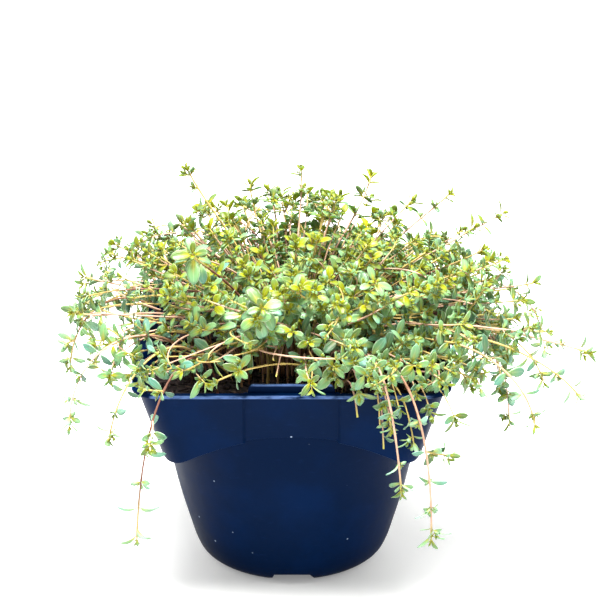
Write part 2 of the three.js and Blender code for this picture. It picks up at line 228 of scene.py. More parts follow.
lens = bpy.data.cameras.new("camera")
lens.lens, lens.sensor_width = LENS, SENSOR
camera = placed("camera", lens)
aim(camera, CAMERA_PLACE, CAMERA_TARGET)
bpy.context.scene.camera = camera
print("the camera stands", round(np.linalg.norm(CAMERA_TARGET - CAMERA_PLACE)), "mm away")

# %% [markdown]
# ## The pot's sizes
# The top of the pot is square with round corners and a flat lip, and its body is round.
# Between them a square collar ends in an arch on each side. The sizes are those of the
# construction model, which were measured in the photograph.

# %% Pot sizes
RIM_HEIGHT = 97.5
WALL = 1.2
LIP_HALF, LIP_THICK, LIP_CORNER = 65.0, 1.4, 11.5
COLLAR_HALF, COLLAR_CORNER, COLLAR_TAPER, ARCH_DROP = 63.0, 10.0, 0.28, 23.6
PANEL_HALF, PANEL_RECESS = 18.75, 1.2
BODY_RADII = [36, 39.6, 42, 48.7, 53.4, 55.7]
BODY_HEIGHTS = [0, 2.6, 8, 31, 53, 84]
POT_ROUNDINGS = [1.2, 2.6, 7, 14, 12, 1.6, 2.6, 0.4, 0.45, 0.5, 0.5, 1.0, 1.0, 1.0]
MOST_CUT, SETTLING = 0.45, 12
POT_FLOOR = 3.9
INSIDE_DROP = 20.0
SIDE_STEPS, PANEL_STEPS, ARC_STEPS = 6, 9, 12
AROUND = 4 * (2 * SIDE_STEPS + PANEL_STEPS + ARC_STEPS - 2)
QUARTERS = [quarter * pi / 2 for quarter in range(4)]
print("the pot has", AROUND, "points all round")

# %% [markdown]
# ## The pot's plastic
# The pot is polypropylene, injection moulded and coloured navy all through. Its surface is
# satin. It has been handled and watered, so there are faint wiped stains, a few dust specks,
# and scuffs that show paler than the plastic. Along the lip's outer edge and on the tops of
# the tabs a paler blue is painted in, a painted highlight where light catches those edges,
# broken up by the scuffs' noise. A painted picture could hold these marks. Noise in the pot's
# own space needs no unwrapping and stays sharp from near by, so each mark is a noise of its
# own size here.

# %% Navy moulded polypropylene
# Where the painted highlight lies: a band just inside the lip's outer edge near its top, and a
# band at the tops of the tabs
HIGHLIGHT_IN, HIGHLIGHT_OUT = 0.8, 0.3
HIGHLIGHT_BELOW, HIGHLIGHT_ABOVE = 1.5, 1.0
TAB_HIGHLIGHT = (2.7, 3.3)
STAIN_SIZE, SCUFF_SIZE, SPECK_SPACING, PLASTIC_GRAIN = 28, 5, 7.5, 0.5


def moulded_polypropylene():
    material, tree, place = new_material("moulded_polypropylene")
    x, y, z = split(place)
    wiped = add(tree, "Mapping", {"Vector": place, "Scale": (1.0, 1.0, 2.6)}).outputs[0]
    scuffs, specks = noise(wiped, SCUFF_SIZE, 3), cells(place, SPECK_SPACING)
    stained = ramp(noise(place, STAIN_SIZE, 4), 0.42, 0.72)
    scuffed = times(ramp(scuffs, 0.6, 0.8), 0.4)
    # The painted highlight: a paler blue along the lip's outer edge and on the tops of the tabs,
    # where light catches them, broken up by the scuff noise
    far = maths("MAXIMUM", maths("ABSOLUTE", x), maths("ABSOLUTE", y))
    side = ramp(far, (LIP_HALF - HIGHLIGHT_IN) * MM, (LIP_HALF - HIGHLIGHT_OUT) * MM)
    top = ramp(z, (RIM_HEIGHT - HIGHLIGHT_BELOW) * MM, (RIM_HEIGHT - HIGHLIGHT_ABOVE) * MM)
    tab_highlight = ramp(z, *((RIM_HEIGHT + height) * MM for height in TAB_HIGHLIGHT))
    painted_highlight = times(plus(times(side, top), tab_highlight), ramp(scuffs, 0.2, 0.6))
    speck = times(ramp(specks["Distance"], 0.075, 0.03), ramp(specks["Color"], 0.5, 0.6))
    colour = layered(
        paint(0x00102B), (stained, 0x001434), (scuffed, 0x071B3B), (painted_highlight, 0x4C6492),
        (times(speck, 0.8), 0x8C9CB4),
    )
    dull = plus(times(stained, 0.12), 0.36)
    grain = noise(place, PLASTIC_GRAIN, 2)
    return finished(material, surface(colour, dull, 0.02, grain, 0.06, 0.1, IOR=1.49))


pot_plastic = moulded_polypropylene()
print("made", pot_plastic.name)

# %% [markdown]
# ## The pot's wall
# The real pot is one moulding about 1.2 mm thick. A boolean of rough shapes would leave hard,
# uneven edges, so the whole wall is lofted instead: each of many upright profiles runs from
# the middle of the foot, up the outside, over the lip and down the inside, and its corners
# are rounded before they are joined.

# %% Outlines of the pot
def pot_outline(half, corner, recess):
    """points round a square with round corners, with a shallow recess in each side's middle"""
    straight = half - corner
    left = np.linspace(-straight, -PANEL_HALF - PANEL_RECESS, SIDE_STEPS)
    middle = np.linspace(-PANEL_HALF, PANEL_HALF, PANEL_STEPS)
    arc = np.linspace(0, pi / 2, ARC_STEPS)[1:-1]
    across = np.concatenate([left, middle, -left[::-1], straight + corner * np.sin(arc)])
    flat = np.repeat([half, half - recess, half], [SIDE_STEPS, PANEL_STEPS, SIDE_STEPS])
    out = np.append(flat, straight + corner * np.cos(arc))
    return np.concatenate([np.stack([
        out * cos(turn) - across * sin(turn),
        out * sin(turn) + across * cos(turn),
    ], 1) for turn in QUARTERS])


def at_height(outline, height):
    return np.column_stack([outline, np.broadcast_to(height, len(outline))])


def collar_outline(height, inset=0.0):
    """the collar's outline, where each point may have a height of its own"""
    halves = COLLAR_HALF - inset - COLLAR_TAPER * (RIM_HEIGHT - np.broadcast_to(height, AROUND))
    return np.array([pot_outline(half, COLLAR_CORNER - inset, PANEL_RECESS)[number]
                     for number, half in enumerate(halves)])


def collar_at(height, inset=0.0):
    return at_height(collar_outline(height, inset), height)


# %% Rounding
def rounded(corners, roundings, steps=4):
    """a profile with its inner corners rounded; each row of corners is a point of all profiles"""
    profile = [corners[0]]
    for before, corner, after, rounding in zip(corners, corners[1:], corners[2:], roundings):
        back, forth = before - corner, after - corner
        back_length, forth_length = (
            np.linalg.norm(way, axis=1, keepdims=True) for way in (back, forth))
        cut = np.minimum(rounding, MOST_CUT * np.minimum(back_length, forth_length))
        start = corner + back / back_length * cut
        end = corner + forth / forth_length * cut
        for t in np.linspace(0, 1, steps):
            profile.append((1 - t) ** 2 * start + 2 * t * (1 - t) * corner + t**2 * end)
    profile.append(corners[-1])
    return profile


# %% The pot's profiles
ray = unit(pot_outline(COLLAR_HALF, COLLAR_CORNER, 0))


def round_points(radius, height):
    return at_height(ray * np.reshape(radius, (-1, 1)), height)


def body_radius(height):
    return np.interp(height, BODY_HEIGHTS, BODY_RADII)


arch_sum = RIM_HEIGHT - ARCH_DROP + COLLAR_HALF - COLLAR_TAPER * ARCH_DROP
join_height = RIM_HEIGHT - ARCH_DROP
edge_heights = np.full(AROUND, join_height)
for _ in range(SETTLING):
    edge_heights = arch_sum - np.linalg.norm(collar_outline(edge_heights), axis=1)
    join_height = arch_sum - body_radius(join_height)

under_lip = RIM_HEIGHT - LIP_THICK
inside_foot = RIM_HEIGHT - INSIDE_DROP
lip = pot_outline(LIP_HALF, LIP_CORNER, 0)
centre = np.zeros((AROUND, 3))
pot_corners = [
    centre, *(round_points(r, z) for r, z in zip(BODY_RADII[:-1], BODY_HEIGHTS[:-1])),
    round_points(body_radius(join_height), join_height),
    collar_at(edge_heights), collar_at(under_lip),
    at_height(lip, under_lip), at_height(lip, RIM_HEIGHT),
    collar_at(RIM_HEIGHT, WALL), collar_at(inside_foot, WALL),
    round_points(body_radius(inside_foot) - WALL, inside_foot - WALL),
    round_points(BODY_RADII[1] - WALL, POT_FLOOR),
    centre + UP * POT_FLOOR,
]
pot_profiles = np.array(rounded(pot_corners, POT_ROUNDINGS))
print("each profile has", len(pot_profiles), "points; the arch joins at",
      round(float(join_height), 1), "mm")


# %% Lofting the pot
def loft(rings):
    """points and faces of a closed skin; the first and the last ring are each a single point"""
    count = rings.shape[1]
    points = np.concatenate([rings[0][:1], rings[1:-1].reshape(-1, 3), rings[-1][:1]])
    faces = []
    last = 1 + (len(rings) - 3) * count
    for i in range(count):
        j = (i + 1) % count
        faces.append([0, 1 + j, 1 + i])
        faces.append([last + i, last + j, len(points) - 1])
        for ring in range(1, last, count):
            faces.append([ring + i, ring + j, ring + count + j, ring + count + i])
    return points, faces


pot = new_piece("pot_moulding", *loft(pot_profiles), [pot_plastic], "pot_plastic", ["pot"])
print("the lofted pot has", len(pot.data.polygons), "faces")

# %% [markdown]
# ## Notches, drain holes and tabs
# Four channels run under the floor to notches in the foot, so that water can get out. The
# roof of each notch slopes up to the outside, so it shows from above. A low tab with round
# shoulders stands on the lip at the front and the back. These are cut and joined with
# booleans, because they meet the lofted wall at odd angles.

# %% Cutting and joining
CHANNEL_TOP, CHANNEL_BOTTOM, CHANNEL_HEIGHT = 15.0, 21.0, 2.3
CHANNEL_FROM, CHANNEL_TO = 21.0, 44.0
MOUTH_FROM, MOUTH_HEIGHT = 36.0, 6.6
DRAIN_FROM, DRAIN_TO, DRAIN_HALF = 24.0, 30.0, 4.5
TAB_HALF, TAB_HEIGHT, TAB_SHOULDER, TAB_ROOT = 17.5, 3.5, 2.5, 1.0
SHARPEST = radians(38)


def prism(outline, depth, place, far_outline=None):
    """a closed prism that runs from a place to the front; outline holds (x, z) pairs"""
    flat = np.array(outline)
    far = flat if far_outline is None else np.array(far_outline)
    count = len(flat)
    front = np.column_stack([flat[:, 0], np.zeros(count), flat[:, 1]])
    back = np.column_stack([far[:, 0], np.full(count, -depth), far[:, 1]])
    faces = [list(range(count)), list(range(2 * count - 1, count - 1, -1))]
    faces += [[i, i + count, (i + 1) % count + count, (i + 1) % count] for i in range(count)]
    return np.concatenate([front, back]) + np.array(place), faces


def under_front(start, end, outline, far_outline=None):
    """a prism that runs to the front between two distances from the pot's axis"""
    return prism(outline, end - start, [0, -start, 0], far_outline)


def boolean_with(target, parts, operation):
    """each part in turn is cut from the target or joined to it, and then removed"""
    for points, faces in parts:
        mesh = new_mesh("tool", points, faces)
        shape = bmesh.new()
        shape.from_mesh(mesh)
        bmesh.ops.recalc_face_normals(shape, faces=shape.faces)
        shape.to_mesh(mesh)
        shape.free()
        tool = placed("tool", mesh)
        modifier = target.modifiers.new("boolean", "BOOLEAN")
        modifier.object, modifier.operation, modifier.solver = tool, operation, "MANIFOLD"
        shown = target.evaluated_get(bpy.context.evaluated_depsgraph_get())
        made = bpy.data.meshes.new_from_object(shown)
        target.modifiers.clear()
        target.data = made
        bpy.data.objects.remove(tool)


def channel_outline(top):
    low, high = CHANNEL_BOTTOM / 2, CHANNEL_TOP / 2
    return [(-low, -1), (low, -1), (low, 0), (high, top), (-high, top), (-low, 0)]


roof = channel_outline(CHANNEL_HEIGHT)
drain = [(-DRAIN_HALF, 0), (DRAIN_HALF, 0),
         (DRAIN_HALF, 2 * POT_FLOOR), (-DRAIN_HALF, 2 * POT_FLOOR)]
openings = [
    under_front(CHANNEL_FROM, CHANNEL_TO, roof),
    under_front(MOUTH_FROM, CHANNEL_TO, roof, channel_outline(MOUTH_HEIGHT)),
    under_front(DRAIN_FROM, DRAIN_TO, drain),
]
right = [(TAB_HALF - TAB_SHOULDER + TAB_SHOULDER * cos(turn),
          TAB_HEIGHT - TAB_SHOULDER + TAB_SHOULDER * sin(turn))
         for turn in np.linspace(0, pi / 2, 7)]
left = [(-x, z) for x, z in right[::-1]]
tab, tab_faces = prism([(-TAB_HALF, -TAB_ROOT), (TAB_HALF, -TAB_ROOT), *right, *left],
                       WALL, [0, WALL - COLLAR_HALF + PANEL_RECESS, RIM_HEIGHT])
boolean_with(pot, [(spun(points, turn), faces) for turn in QUARTERS
                   for points, faces in openings], "DIFFERENCE")
boolean_with(pot, [(spun(tab, turn), tab_faces) for turn in (0, pi)], "UNION")
pot.data.set_sharp_from_angle(angle=SHARPEST)
print("with notches, drains and tabs the pot has", len(pot.data.polygons), "faces")

# %% [markdown]
# ## Where the stems go
# The construction model places its stems by a rule: some tips are listed one by one where the
# photograph shows a shoot, and the others follow a golden-angle spiral over a dome. The same
# rule is worked out again here, with the same seeded draws, so each finer sprig follows the
# very course of the solid that it replaces. The frame then says which tips carry a stem.

# %% Sizes shared with the construction model
SOIL_HEIGHT = RIM_HEIGHT - 11.0
FOOT_DEPTH, STRAIGHT = 5.0, 2.0
ROOT_REACH, FULL_LEAN, LEAN_BELOW = 53.0, radians(92), 22.0
SWAY = 5.0
RISE_LEAST, RISE_SHARE, RISE_MORE = 32.0, 0.5, 12.0
GROWTH_BEND, GROWTH_REACH = 1.15, 0.4
HANG_FROM, HANG_OVER, HANG_CREST, HANG_INWARD = 6.0, 22.0, 31.0, 3.0
LEAF_SIZES = (0.92, 1.08)
DOME_X, DOME_Y, DOME_HEIGHT, DOME_HANG = 90.0, 86.0, 52.0, 92.0
DOME_TIPS, DOME_LOWEST, PAST_LIP = 90, radians(116), 13.0
SCATTER_DOME, SCATTER_HANGING = (0.93, 1.07), (1.0, 1.07)
FRONT_CLEAR = 10.0
SPACING_INNER, SPACING_OUTER, SPACING_RADIUS = 20.0, 33.0, 66.0
TIP_SEED, FIRST_SEED = 11, 100
GOLDEN_ANGLE = pi * (3 - sqrt(5))
SHOOTS = [
    (-44, 10, 71), (-18, 30, 57), (4, 30, 64), (19, 12, 57), (34, 35, 59), (51, 28, 50),
    (67, 18, 57), (76, -4, 50), (90, 26, 45), (88, -18, 41),
    (95, -26, 26), (105, -40, 18), (124, -25, 2), (117, -52, -6), (98, -68, -12),
    (56, -89, -53), (44, -86, -34), (-62, -89, -53), (-73, -78, -14), (-90, -61, -16),
    (-80, -46, 14), (-91, -20, 18), (-88, 3, 25), (-76, 16, 35),
    (8, -79, 12), (-21, -74, 15), (31, -75, 13), (50, -72, 16), (67, -58, 12), (-44, -69, 13),
    (-42, -32, 49), (-13, -58, 36), (34, -48, 43), (60, -40, 36),
]
WORD = 0xFFFFFFFF


# %% The rule for the tips
def seeded_draw(seed):
    """the construction model's own draw of numbers from 0 to 1"""
    state = seed

    def draw():
        nonlocal state
        state = (state + 0x6D2B79F5) & WORD
        mixed = (state ^ (state >> 15)) * (1 | state) & WORD
        mixed = (mixed + ((mixed ^ (mixed >> 7)) * (61 | mixed) & WORD) & WORD) ^ mixed
        return ((mixed ^ (mixed >> 14)) & WORD) / (WORD + 1)

    return draw


def over_rim(place):
    """a place that is given by its height over the rim"""
    return np.array(place) + UP * RIM_HEIGHT


def on_dome(up, turn):
    """a point of the dome, from its foot at 0 to its top at 1; under 0 it hangs from the foot"""
    out = sqrt(1 - up * up) if up > 0 else 1.0
    height = up * (DOME_HEIGHT if up > 0 else DOME_HANG)
    return np.array([DOME_X * out * cos(turn), DOME_Y * out * sin(turn), height])


def dome_tip(number, tips=DOME_TIPS, lowest=DOME_LOWEST):
    up = 1 - ((number + 0.5) / tips) * (1 - cos(lowest))
    tip = on_dome(up, number * GOLDEN_ANGLE)
    return tip if up > 0 else past_lip(tip)


def past_lip(tip):
    """a hanging tip lies far enough out to fall clear of the square lip"""
    share = max(1.0, (LIP_HALF + PAST_LIP) / max(abs(tip[0]), abs(tip[1])))
    return tip * [share, share, 1]


def in_front(tip):
    return tip[1] < 0 and abs(tip[0]) < -tip[1]


def hides_front(tip):
    return tip[2] < FRONT_CLEAR and in_front(tip)


def all_tips():
    tips = [np.array(shoot, float) for shoot in SHOOTS]
    draw = seeded_draw(TIP_SEED)
    for number in range(DOME_TIPS):
        tip = dome_tip(number)
        tip = tip * lerp(*(SCATTER_DOME if tip[2] > 0 else SCATTER_HANGING), draw())
        inside = hypot(tip[0], tip[1]) < SPACING_RADIUS
        spacing = SPACING_INNER if inside else SPACING_OUTER
        crowded = any(np.linalg.norm(other - tip) < spacing for other in tips)
        if not crowded and not hides_front(tip):
            tips.append(tip)
    return [over_rim(tip) for tip in tips]

# %% [markdown]
# ## One shoot
# A shoot is a smooth line from its foot to its tip, with a direction across it that tells how
# its square section is turned. `sections` gives the place and the three directions at any
# distance back from the tip, for a whole list of distances at once, because leaves are
# counted from the tip on a real stem too. A Blender curve could draw the stem, but the
# leaves need its line as numbers, so both are worked out from the same ones.

# %% A shoot and its sections
class Shoot:
    def __init__(self, line, across, turn, corners, size, habit, head=1.0, age=None):
        self.line = line
        steps = np.linalg.norm(np.diff(line, axis=0), axis=1)
        self.reach = np.concatenate([[0], np.cumsum(steps)])
        self.slopes = unit(np.gradient(line, self.reach, axis=0))
        self.length = self.reach[-1]
        self.across, self.turn, self.corners, self.size = across, turn, corners, size
        self.habit, self.head = habit, head
        self.age = habit.age if age is None else age

    def sections(self, backs):
        """centre, tangent, side and over at each distance back from the tip"""
        along = self.length - np.asarray(backs, float)
        centre, slope = (
            np.stack([np.interp(along, self.reach, part[:, k]) for k in range(3)], 1)
            for part in (self.line, self.slopes))
        tangent = unit(slope)
        side = unit(self.across - tangent * dots(tangent, self.across))
        return centre, tangent, side, np.cross(tangent, side)


def bezier(corners, steps):
    """points along a cubic curve"""
    t = np.linspace(0, 1, steps)[:, None]
    a, b, c, d = corners
    return (1 - t) ** 3 * a + 3 * (1 - t) ** 2 * t * b + 3 * (1 - t) * t * t * c + t**3 * d


# %% Habits of growth
# The share of its length that carries leaves, the shares of axils that hold a side shoot and
# a tuft, the share of leaves that are still on, how far its pairs stand apart, how much older
# or younger than usual its leaves are, how long and how broad they are against the usual, and
# how many degrees more they rise
Habit = namedtuple("Habit", "leafy side tuft leaf apart age long broad rise")
UPRIGHT = Habit(0.32, 0.05, 0.4, 0.72, 0.9, -0.32, 0.88, 1.3, 10)
ARCHING = Habit(0.44, 0.1, 0.4, 0.76, 1.05, 0.05, 1.12, 1.0, 0)
HANGING = Habit(0.8, 0.12, 0.4, 0.78, 1.2, 0.16, 1.08, 1.0, 0)
GRAND = Habit(0.22, 0.0, 0.6, 0.85, 0.6, 0.1, 1.0, 1.3, 0)
CREEPING = Habit(0.24, 0.05, 0.4, 0.85, 1.0, 0.08, 1.1, 1.0, 0)
STRAGGLING = Habit(0.36, 0.08, 0.45, 0.7, 1.1, 0.06, 0.95, 1.0, 2)
CUT_OFF = Habit(0.0, 0.0, 0.0, 0.0, 1.0, 0.0, 1.0, 1.0, 0)
SIDEWAYS = Habit(0.92, 0.0, 0.45, 0.9, 0.85, 0.0, 1.0, 1.05, 8)
UPRIGHT_FROM, ARCHING_FROM = 32.0, 4.0
print("stems stand from", UPRIGHT_FROM, "mm over the rim, and hang below", ARCHING_FROM)


def habit_of(height):
    """how a stem grows whose tip stands that high over the rim"""
    if height > UPRIGHT_FROM:
        return UPRIGHT
    return ARCHING if height > ARCHING_FROM else HANGING


# %% The course of a stem
# How far the corners of each kind of stem stand off its middle, at its tip and at its foot
MAIN_STEM, GRAND_STEM, FILL_STEM = (0.34, 0.58), (0.34, 0.6), (0.3, 0.48)
CREEPING_STEM, STANDING_STEM = (0.3, 0.46), (0.28, 0.45)
SIDE_STEM, STRAGGLING_STEM = (0.28, 0.42), (0.26, 0.4)
ARCH_STEPS, THIN_STEPS, BRANCH_STEPS = 201, 60, 24
GRAND_AGE, SEEN_GRAND_HEAD = 0.12, 1.5
GRAND_ROOT, GRAND_RISE, GRAND_NECK = [0.3, 0.3, 0], 40, 24
CREEP_ROOTS, CREEP_ASIDE, CREEP_CRESTS, CREEP_SIZES = (24, 40), 24, (5, 13), (0.85, 1.1)
CREEP_MIDDLE, CREEP_RISE, CREEP_START = 0.72, 15, 4
STRAGGLE_FROM, STRAGGLE_SINK, STRAGGLE_ENDS = (0.1, 0.95), (-0.4, 0.1), (0.96, 1.07)
STRAGGLE_ASIDE, STRAGGLE_TOP, STRAGGLE_SIZES = 0.6, 0.97, (0.75, 1.0)
AT_TIP = 0.5


def outward(tip):
    """the level directions straight out to a tip, and across"""
    out = unit(tip * [1, 1, 0])
    return out, np.array([-out[1], out[0], 0])


def arch_to(tip, ground, out, lean):
    """the control points of an arch that leaves the ground upright"""
    height = tip[2] - RIM_HEIGHT
    first = ground + UP * max(RISE_LEAST, RISE_SHARE * height + RISE_MORE)
    growth = pi / 2 - GROWTH_BEND * lean
    heading = out * cos(growth) + UP * sin(growth)
    domed = tip - heading * GROWTH_REACH * np.linalg.norm(ground - tip)
    hanging = np.array([tip[0], tip[1], RIM_HEIGHT + HANG_CREST]) - out * HANG_INWARD
    hang = min(1.0, max(0.0, (HANG_FROM - height) / HANG_OVER))
    return [ground, first, lerp(domed, hanging, hang), tip]


def plan_stem(tip, seed, spread=1.0, corners=MAIN_STEM, head=1.0):
    draw = seeded_draw(seed)
    lean = atan2(hypot(tip[0], tip[1]), tip[2] - RIM_HEIGHT + LEAN_BELOW)
    out, across = outward(tip)
    root_radius = ROOT_REACH * min(1.0, lean / FULL_LEAN) * spread
    foot = UP * (SOIL_HEIGHT - FOOT_DEPTH) + out * root_radius
    ground = foot + UP * (FOOT_DEPTH + STRAIGHT)
    arch = arch_to(tip, ground, out, lean)
    sway = SWAY * (2 * draw() - 1)
    arch[1] = arch[1] + across * sway
    arch[2] = arch[2] - across * sway
    turn = pi * draw()
    size = lerp(*LEAF_SIZES, draw())
    line = np.concatenate([[foot], bezier(arch, ARCH_STEPS)])
    age = GRAND_AGE if head > 1 else None
    return Shoot(line, across, turn, corners, size, habit_of(tip[2] - RIM_HEIGHT), head, age)


def plan_creeper(tip, seed, root=None, bend=(0, 0, 0)):
    """a thin stem that leans over at once and lies low on the soil and the lip"""
    draw = seeded_draw(seed)
    out, across = outward(tip)
    if root is None:
        root = out * lerp(*CREEP_ROOTS, draw()) + across * CREEP_ASIDE * (2 * draw() - 1)
    ground = np.array([root[0], root[1], SOIL_HEIGHT - STRAIGHT])
    crest = max(tip[2], RIM_HEIGHT) + lerp(*CREEP_CRESTS, draw())
    first = ground + UP * CREEP_RISE + out * CREEP_START
    middle = lerp(ground, tip, CREEP_MIDDLE) * [1, 1, 0] + UP * crest + np.array(bend)
    line = bezier([ground, first, middle, tip], THIN_STEPS)
    turn, size = pi * draw(), lerp(*CREEP_SIZES, draw())
    return Shoot(line, across, turn, CREEPING_STEM, size, CREEPING)


def plan_grand(tip, heading, turn):
    """a stout stem that ends in a large open head"""
    heading = unit(np.array(heading, float))
    root = tip * GRAND_ROOT + UP * SOIL_HEIGHT
    line = bezier([root, root + UP * GRAND_RISE, tip - heading * GRAND_NECK, tip], THIN_STEPS)
    across = unit(np.cross(heading, UP))
    return Shoot(line, across, turn, GRAND_STEM, 1.0, GRAND, SEEN_GRAND_HEAD)


def dome_at(up, turn, scale):
    """a point on the dome over the rim, or inside or outside it by the scale"""
    return over_rim(on_dome(up, turn) * scale)


def plan_straggler(number, rng):
    """a long thin stem that comes out of the dome and lies across it"""
    azimuth, up = number * GOLDEN_ANGLE, rng.uniform(*STRAGGLE_FROM)
    aside = rng.uniform(-STRAGGLE_ASIDE, STRAGGLE_ASIDE)
    end_up = up + rng.uniform(*STRAGGLE_SINK)
    course = [
        (up, 0.0, 0.66), (lerp(up, end_up, 0.3), 0.25, 0.92),
        (lerp(up, end_up, 0.7), 0.7, 1.03), (end_up, 1.0, rng.uniform(*STRAGGLE_ENDS)),
    ]
    arch = [dome_at(min(STRAGGLE_TOP, max(0.0, height)), azimuth + aside * share, scale)
            for height, share, scale in course]
    across = unit(np.cross(arch[3] - arch[0], UP))
    turn, size = rng.uniform(0, pi), rng.uniform(*STRAGGLE_SIZES)
    return Shoot(bezier(arch, THIN_STEPS), across, turn, STRAGGLING_STEM, size, STRAGGLING)


def carried(tip, node):
    """whether that node of the frame ends at this tip"""
    points = np.array([v.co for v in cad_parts[node].data.vertices]) / MM
    return np.min(np.linalg.norm(points - tip, axis=1)) < AT_TIP


GRAND_HEADS = {(-42, -32, 49): 1.2, (-13, -58, 36): 1.2, (60, -40, 36): 1.25,
               (34, -48, 43): 1.2, (31, -75, 13): 1.3}
main_stems = {}
for tip in all_tips():
    node = f"thyme_stem_{len(main_stems) + 1:02d}"
    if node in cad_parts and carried(tip, node):
        head = GRAND_HEADS.get(tuple(round(value) for value in tip - UP * RIM_HEIGHT), 1.0)
        main_stems[node] = plan_stem(tip, FIRST_SEED + len(main_stems), head=head)
in_frame = [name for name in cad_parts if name.startswith("thyme_stem_")]
print("the rule gives", len(main_stems), "stems, and the frame has", len(in_frame))

# %% [markdown]
# ## The leaf
# A thyme leaf is a small blunt oval, 6 to 8 mm long, on a short narrow stalk. It is a
# little cupped along its midrib, and its tip bends down. Copies of one finished leaf would
# all be bent alike. So one leaf is laid out flat as a grid, with an upper and a lower skin
# that meet at the margin, which makes it a closed lens. Thousands of leaves are then bent
# and placed from this one grid in a single sum, each by an amount of its own.

# %% The leaf's grid
LEAF_THICK = 0.3
MIDRIB_DEPTH = 0.1
CUP_POWER = 1.5
BIG_ALONG = [0.0, 0.10, 0.24, 0.44, 0.66, 0.86, 1.0]
BIG_HALF = [0.10, 0.13, 0.58, 0.94, 0.98, 0.66, 0.10]
SMALL_ALONG = [0.0, 0.3, 0.68, 1.0]
SMALL_HALF = [0.14, 0.72, 0.98, 0.22]


def quads(grid):
    """the four corners of each cell in a grid of point numbers"""
    corners = grid[:-1, :-1], grid[:-1, 1:], grid[1:, 1:], grid[1:, :-1]
    return np.stack([corner.ravel() for corner in corners], 1)


def leaf_grid(along, half, across):
    """a closed lens; the two skins share the margin, and each has its own points inside it"""
    rows, columns = len(along), len(across)
    upper = np.arange(rows * columns).reshape(rows, columns)
    lower = upper.copy()
    inside = lower[1:-1, 1:-1]
    inside[:] = rows * columns + np.arange(inside.size).reshape(inside.shape)
    u, v = (part.ravel() for part in np.meshgrid(along, across, indexing="ij"))
    skin = np.ones((rows, columns))
    skin[[0, -1], :] = 0
    skin[:, [0, -1]] = 0
    inner = upper[1:-1, 1:-1].ravel()
    u, v = np.append(u, u[inner]), np.append(v, v[inner])
    skin = np.append(skin.ravel(), -np.ones(len(inner)))
    half = np.interp(u, along, half)
    top, under = quads(upper), quads(lower)[:, [0, 3, 2, 1]]
    kinds = np.repeat([0, 1], len(top))
    return {"u": u, "v": v, "half": half, "skin": skin,
            "faces": np.concatenate([top, under]), "kinds": kinds}


BIG_LEAF = leaf_grid(BIG_ALONG, BIG_HALF, [-1, -0.55, 0, 0.55, 1])
SMALL_LEAF = leaf_grid(SMALL_ALONG, SMALL_HALF, [-1, 0, 1])
print("a leaf has", len(BIG_LEAF["faces"]), "faces, and a bud leaf", len(SMALL_LEAF["faces"]))


# %% Laying out leaves
def lay_leaves(leaves, grid):
    """the corners of every leaf: bent down along an arc, and cupped towards its face"""
    u, v = grid["u"][None, :], grid["v"][None, :]
    curl = leaves["curl"][:, None]
    length, half = leaves["length"][:, None], leaves["width"][:, None] / 2
    bend = curl * u
    along = length * np.sin(bend) / curl
    down = length * (1 - np.cos(bend)) / curl
    cup = leaves["cup"][:, None] * half * np.abs(v) ** CUP_POWER * grid["half"]
    crease = -MIDRIB_DEPTH * (np.abs(v) < 0.1) * grid["half"]
    lift = cup + crease + grid["skin"] * LEAF_THICK / 2
    axis, face = leaves["axis"], leaves["face"]
    width = np.cross(axis, face)
    return (leaves["root"][:, None, :]
            + axis[:, None, :] * (along + lift * np.sin(bend))[..., None]
            + face[:, None, :] * (lift * np.cos(bend) - down)[..., None]
            + width[:, None, :] * (half * v * grid["half"])[..., None])

# %% [markdown]
# ## Growing leaves on a shoot
# Thyme's leaves stand in opposite pairs, each pair a quarter turn from the last. The top
# pairs sit close together, so each head is a small star of leaves around a golden bud.
# Below the head the pairs stand 7 to 10 mm apart, and in many axils sits a tuft of tiny
# young leaves. A leaf twists on its stalk to turn its face to the light, but those of the
# head hardly do, or the star would close up to one flat plate. A scatter of leaves over each
# stem would be simpler, but the crossed pairs are what the eye knows thyme by.

# %% Growing leaves
PAIR_BACKS = np.array([0.3, 0.9, 2.1, 4.4, 11.6, 20.2, 29.6, 39.6, 49.6, 59.6, 69.6, 79.6, 89.6])
PAIR_LENGTHS = np.array([2.2, 4.2, 6.7, 7.7, 8.0, 8.0, 7.8, 7.5, 7.2, 6.8, 6.4, 6.0, 6.0])
PAIR_RISES = np.radians([74, 62, 44, 26, 22, 14, 8, 5, 2, 0, -3, -5, -5])
PAIR_AGES = np.array([0.0, 0.05, 0.3, 0.42, 0.58, 0.68, 0.76, 0.83, 0.9, 0.95, 1.0, 1.0, 1.0])
HEAD_SHARE = np.array([0.2, 0.5, 1.0, 1.0, 0.4, 0.1] + 7 * [0.0])
MOST_TWIST = np.array([0.3, 0.3, 0.3, 0.4, 0.8] + 8 * [1.0])
TUFT_LENGTHS = np.array([3.9, 2.9, 1.9])
TUFT_BACKS = np.array([0.5, 1.3, 1.9])
TUFT_RISES = np.radians([26, 46, 68])
TUFT_TWIST, TUFT_WIDTH, TUFT_CURL = 0.5, 0.5, (0.05, 0.5)
GRAND_DROOP, STEEPEST = 14, 1.4
OUTWARD_LIGHT = 0.25
LEAF_CURL, LEAF_CUP, LEAF_WIDTH = (0.2, 1.1), (0.05, 0.35), (0.35, 0.47)
TURN_SPREAD, RISE_SPREAD, AGE_SPREAD, LENGTH_SPREAD = 0.14, 0.13, 0.06, (0.66, 1.1)
TUFT_TURN_SPREAD, TUFT_RISE_SPREAD, TUFT_LENGTH_SPREAD = 0.2, 0.15, (0.8, 1.15)
TUFT_OUT, TUFT_LEAN_SPREAD = 0.8, 0.12
IN_THE_BARK = 0.7


def light_on(shoot):
    """where a shoot's leaves look for light: up, and a little outwards"""
    return UP + outward(shoot.line[-1])[0] * OUTWARD_LIGHT


